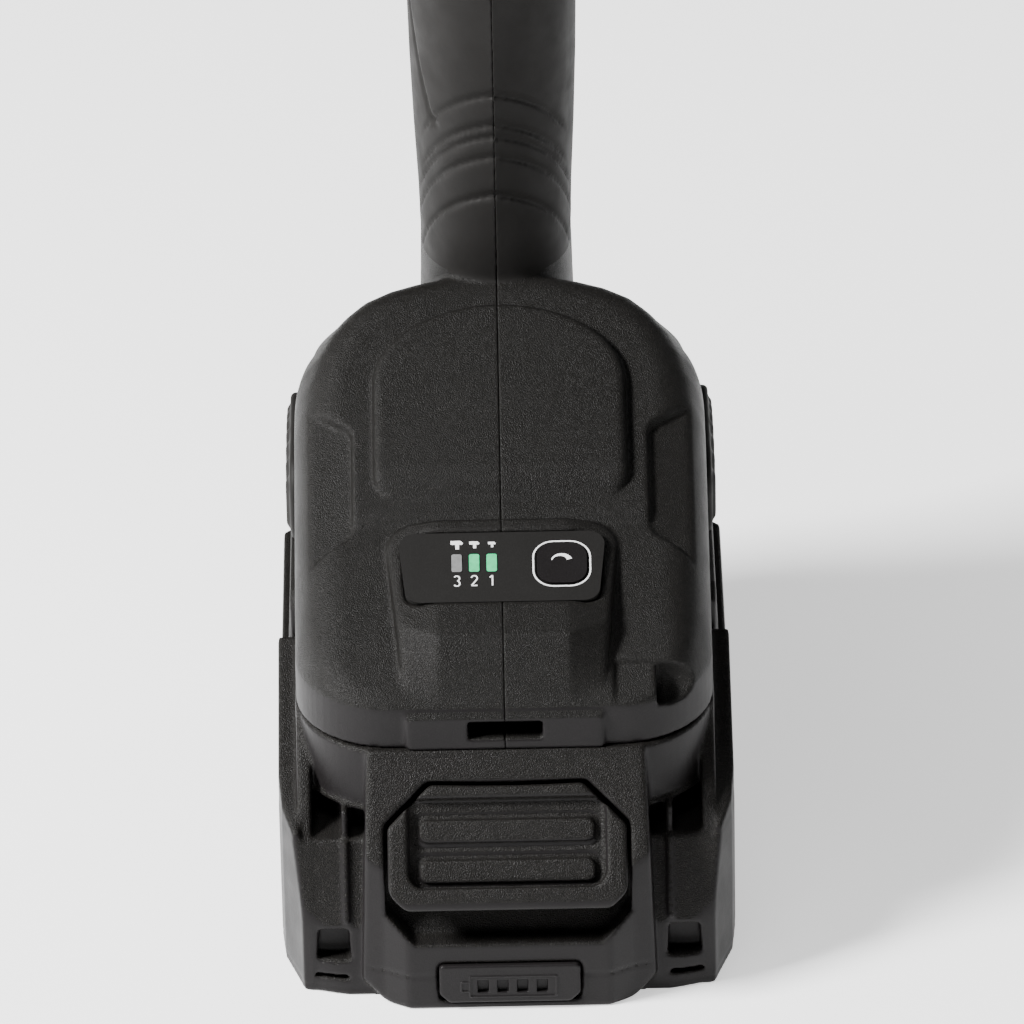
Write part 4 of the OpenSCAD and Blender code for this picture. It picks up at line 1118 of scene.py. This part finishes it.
def print_mode():
    """The ring round the mode button and the swelling arc on it."""
    rim = rounded_outline(MODE_X, MODE_Y, 5.35, 5.45, 3.9, 8)
    inner = rounded_outline(MODE_X, MODE_Y, 5.05, 5.15, 3.6, 8)
    printed("mode_rim", [(rim, inner)])
    turns = [math.radians(a) for a in range(172, 15, -12)]

    def dial(a, width):
        return (MODE_X + (DIAL_RX - width) * math.cos(a), 0.9 + (DIAL_RY - width) * math.sin(a))

    outer = [dial(a, 0) for a in turns]
    thin = [dial(a, 0.2 + 0.06 * i) for i, a in enumerate(turns)]
    printed("mode_dial", [outer + thin[::-1]], -0.07, 0.03, body="mode")


# ---------------------------------------------------------------- stage

VIEW_TARGET = (2.0, 40.0, 81.6)
VIEW_RISE = 30.0
VIEW_DISTANCE = 1800.0
VIEW_ROLL = -1.1
VIEW_WIDTH = 186.521            # what the picture spans at the target


def build_camera():
    """The camera that looks down at the front of the pack, as the photo does."""
    data = bpy.data.cameras.new("camera")
    data.sensor_width = 36
    data.lens = VIEW_DISTANCE / VIEW_WIDTH * data.sensor_width
    data.clip_end = 20
    camera = add_object("camera", data)
    rise = math.radians(VIEW_RISE)
    target = Vector((VIEW_TARGET[0], VIEW_TARGET[1] + FRONT_Y, VIEW_TARGET[2])) * MM
    away = Vector((0, -math.cos(rise), math.sin(rise))) * VIEW_DISTANCE * MM
    turn = Matrix.Rotation(math.pi / 2 - rise, 4, "X") @ Matrix.Rotation(math.radians(VIEW_ROLL), 4, "Z")
    camera.matrix_world = Matrix.Translation(target + away) @ turn
    bpy.context.scene.camera = camera


def area_light(name, place_mm, aim_mm, size_mm, power):
    """A soft rectangular light at one place, turned to another."""
    data = bpy.data.lights.new(name, "AREA")
    data.shape = "RECTANGLE"
    data.size, data.size_y = size_mm[0] * MM, size_mm[1] * MM
    data.energy = power
    light = add_object(name, data)
    origin = Vector(place_mm) * MM
    aim = Vector(aim_mm) * MM
    turn = (aim - origin).to_track_quat("-Z", "Y").to_matrix().to_4x4()
    light.matrix_world = Matrix.Translation(origin) @ turn


def build_stage():
    """A pale floor, faint light all round, a key light from the left and two weaker lights."""
    bpy.ops.mesh.primitive_plane_add(size=12)
    floor = bpy.context.object
    floor.name = "floor"
    material, tree, shader = new_material("floor_paper")
    vary(tree, shader, "Base Color", noise(tree, 3, 2), grey(0.9), grey(0.93))
    shader.inputs["Roughness"].default_value = 0.9
    shader.inputs["Emission Color"].default_value = (1, 1, 1, 1)
    shader.inputs["Emission Strength"].default_value = 0.9
    floor.data.materials.append(material)
    world = bpy.data.worlds.new("studio")
    world.use_nodes = True
    background = world.node_tree.nodes["Background"]
    background.inputs["Color"].default_value = (1, 1, 1, 1)
    background.inputs["Strength"].default_value = 0.04
    bpy.context.scene.world = world
    aim = (0, 0, 60)
    area_light("key", (-1000, -330, 950), aim, (340, 340), 66)
    area_light("top", (-250, -300, 1500), aim, (500, 500), 7)
    area_light("rear", (900, 900, 900), aim, (700, 500), 3)


build_housing()
build_pack()
build_bumpers()
build_trigger()
build_springs()
print_levels()
print_mode()
dress_cad_nodes()
build_camera()
build_stage()
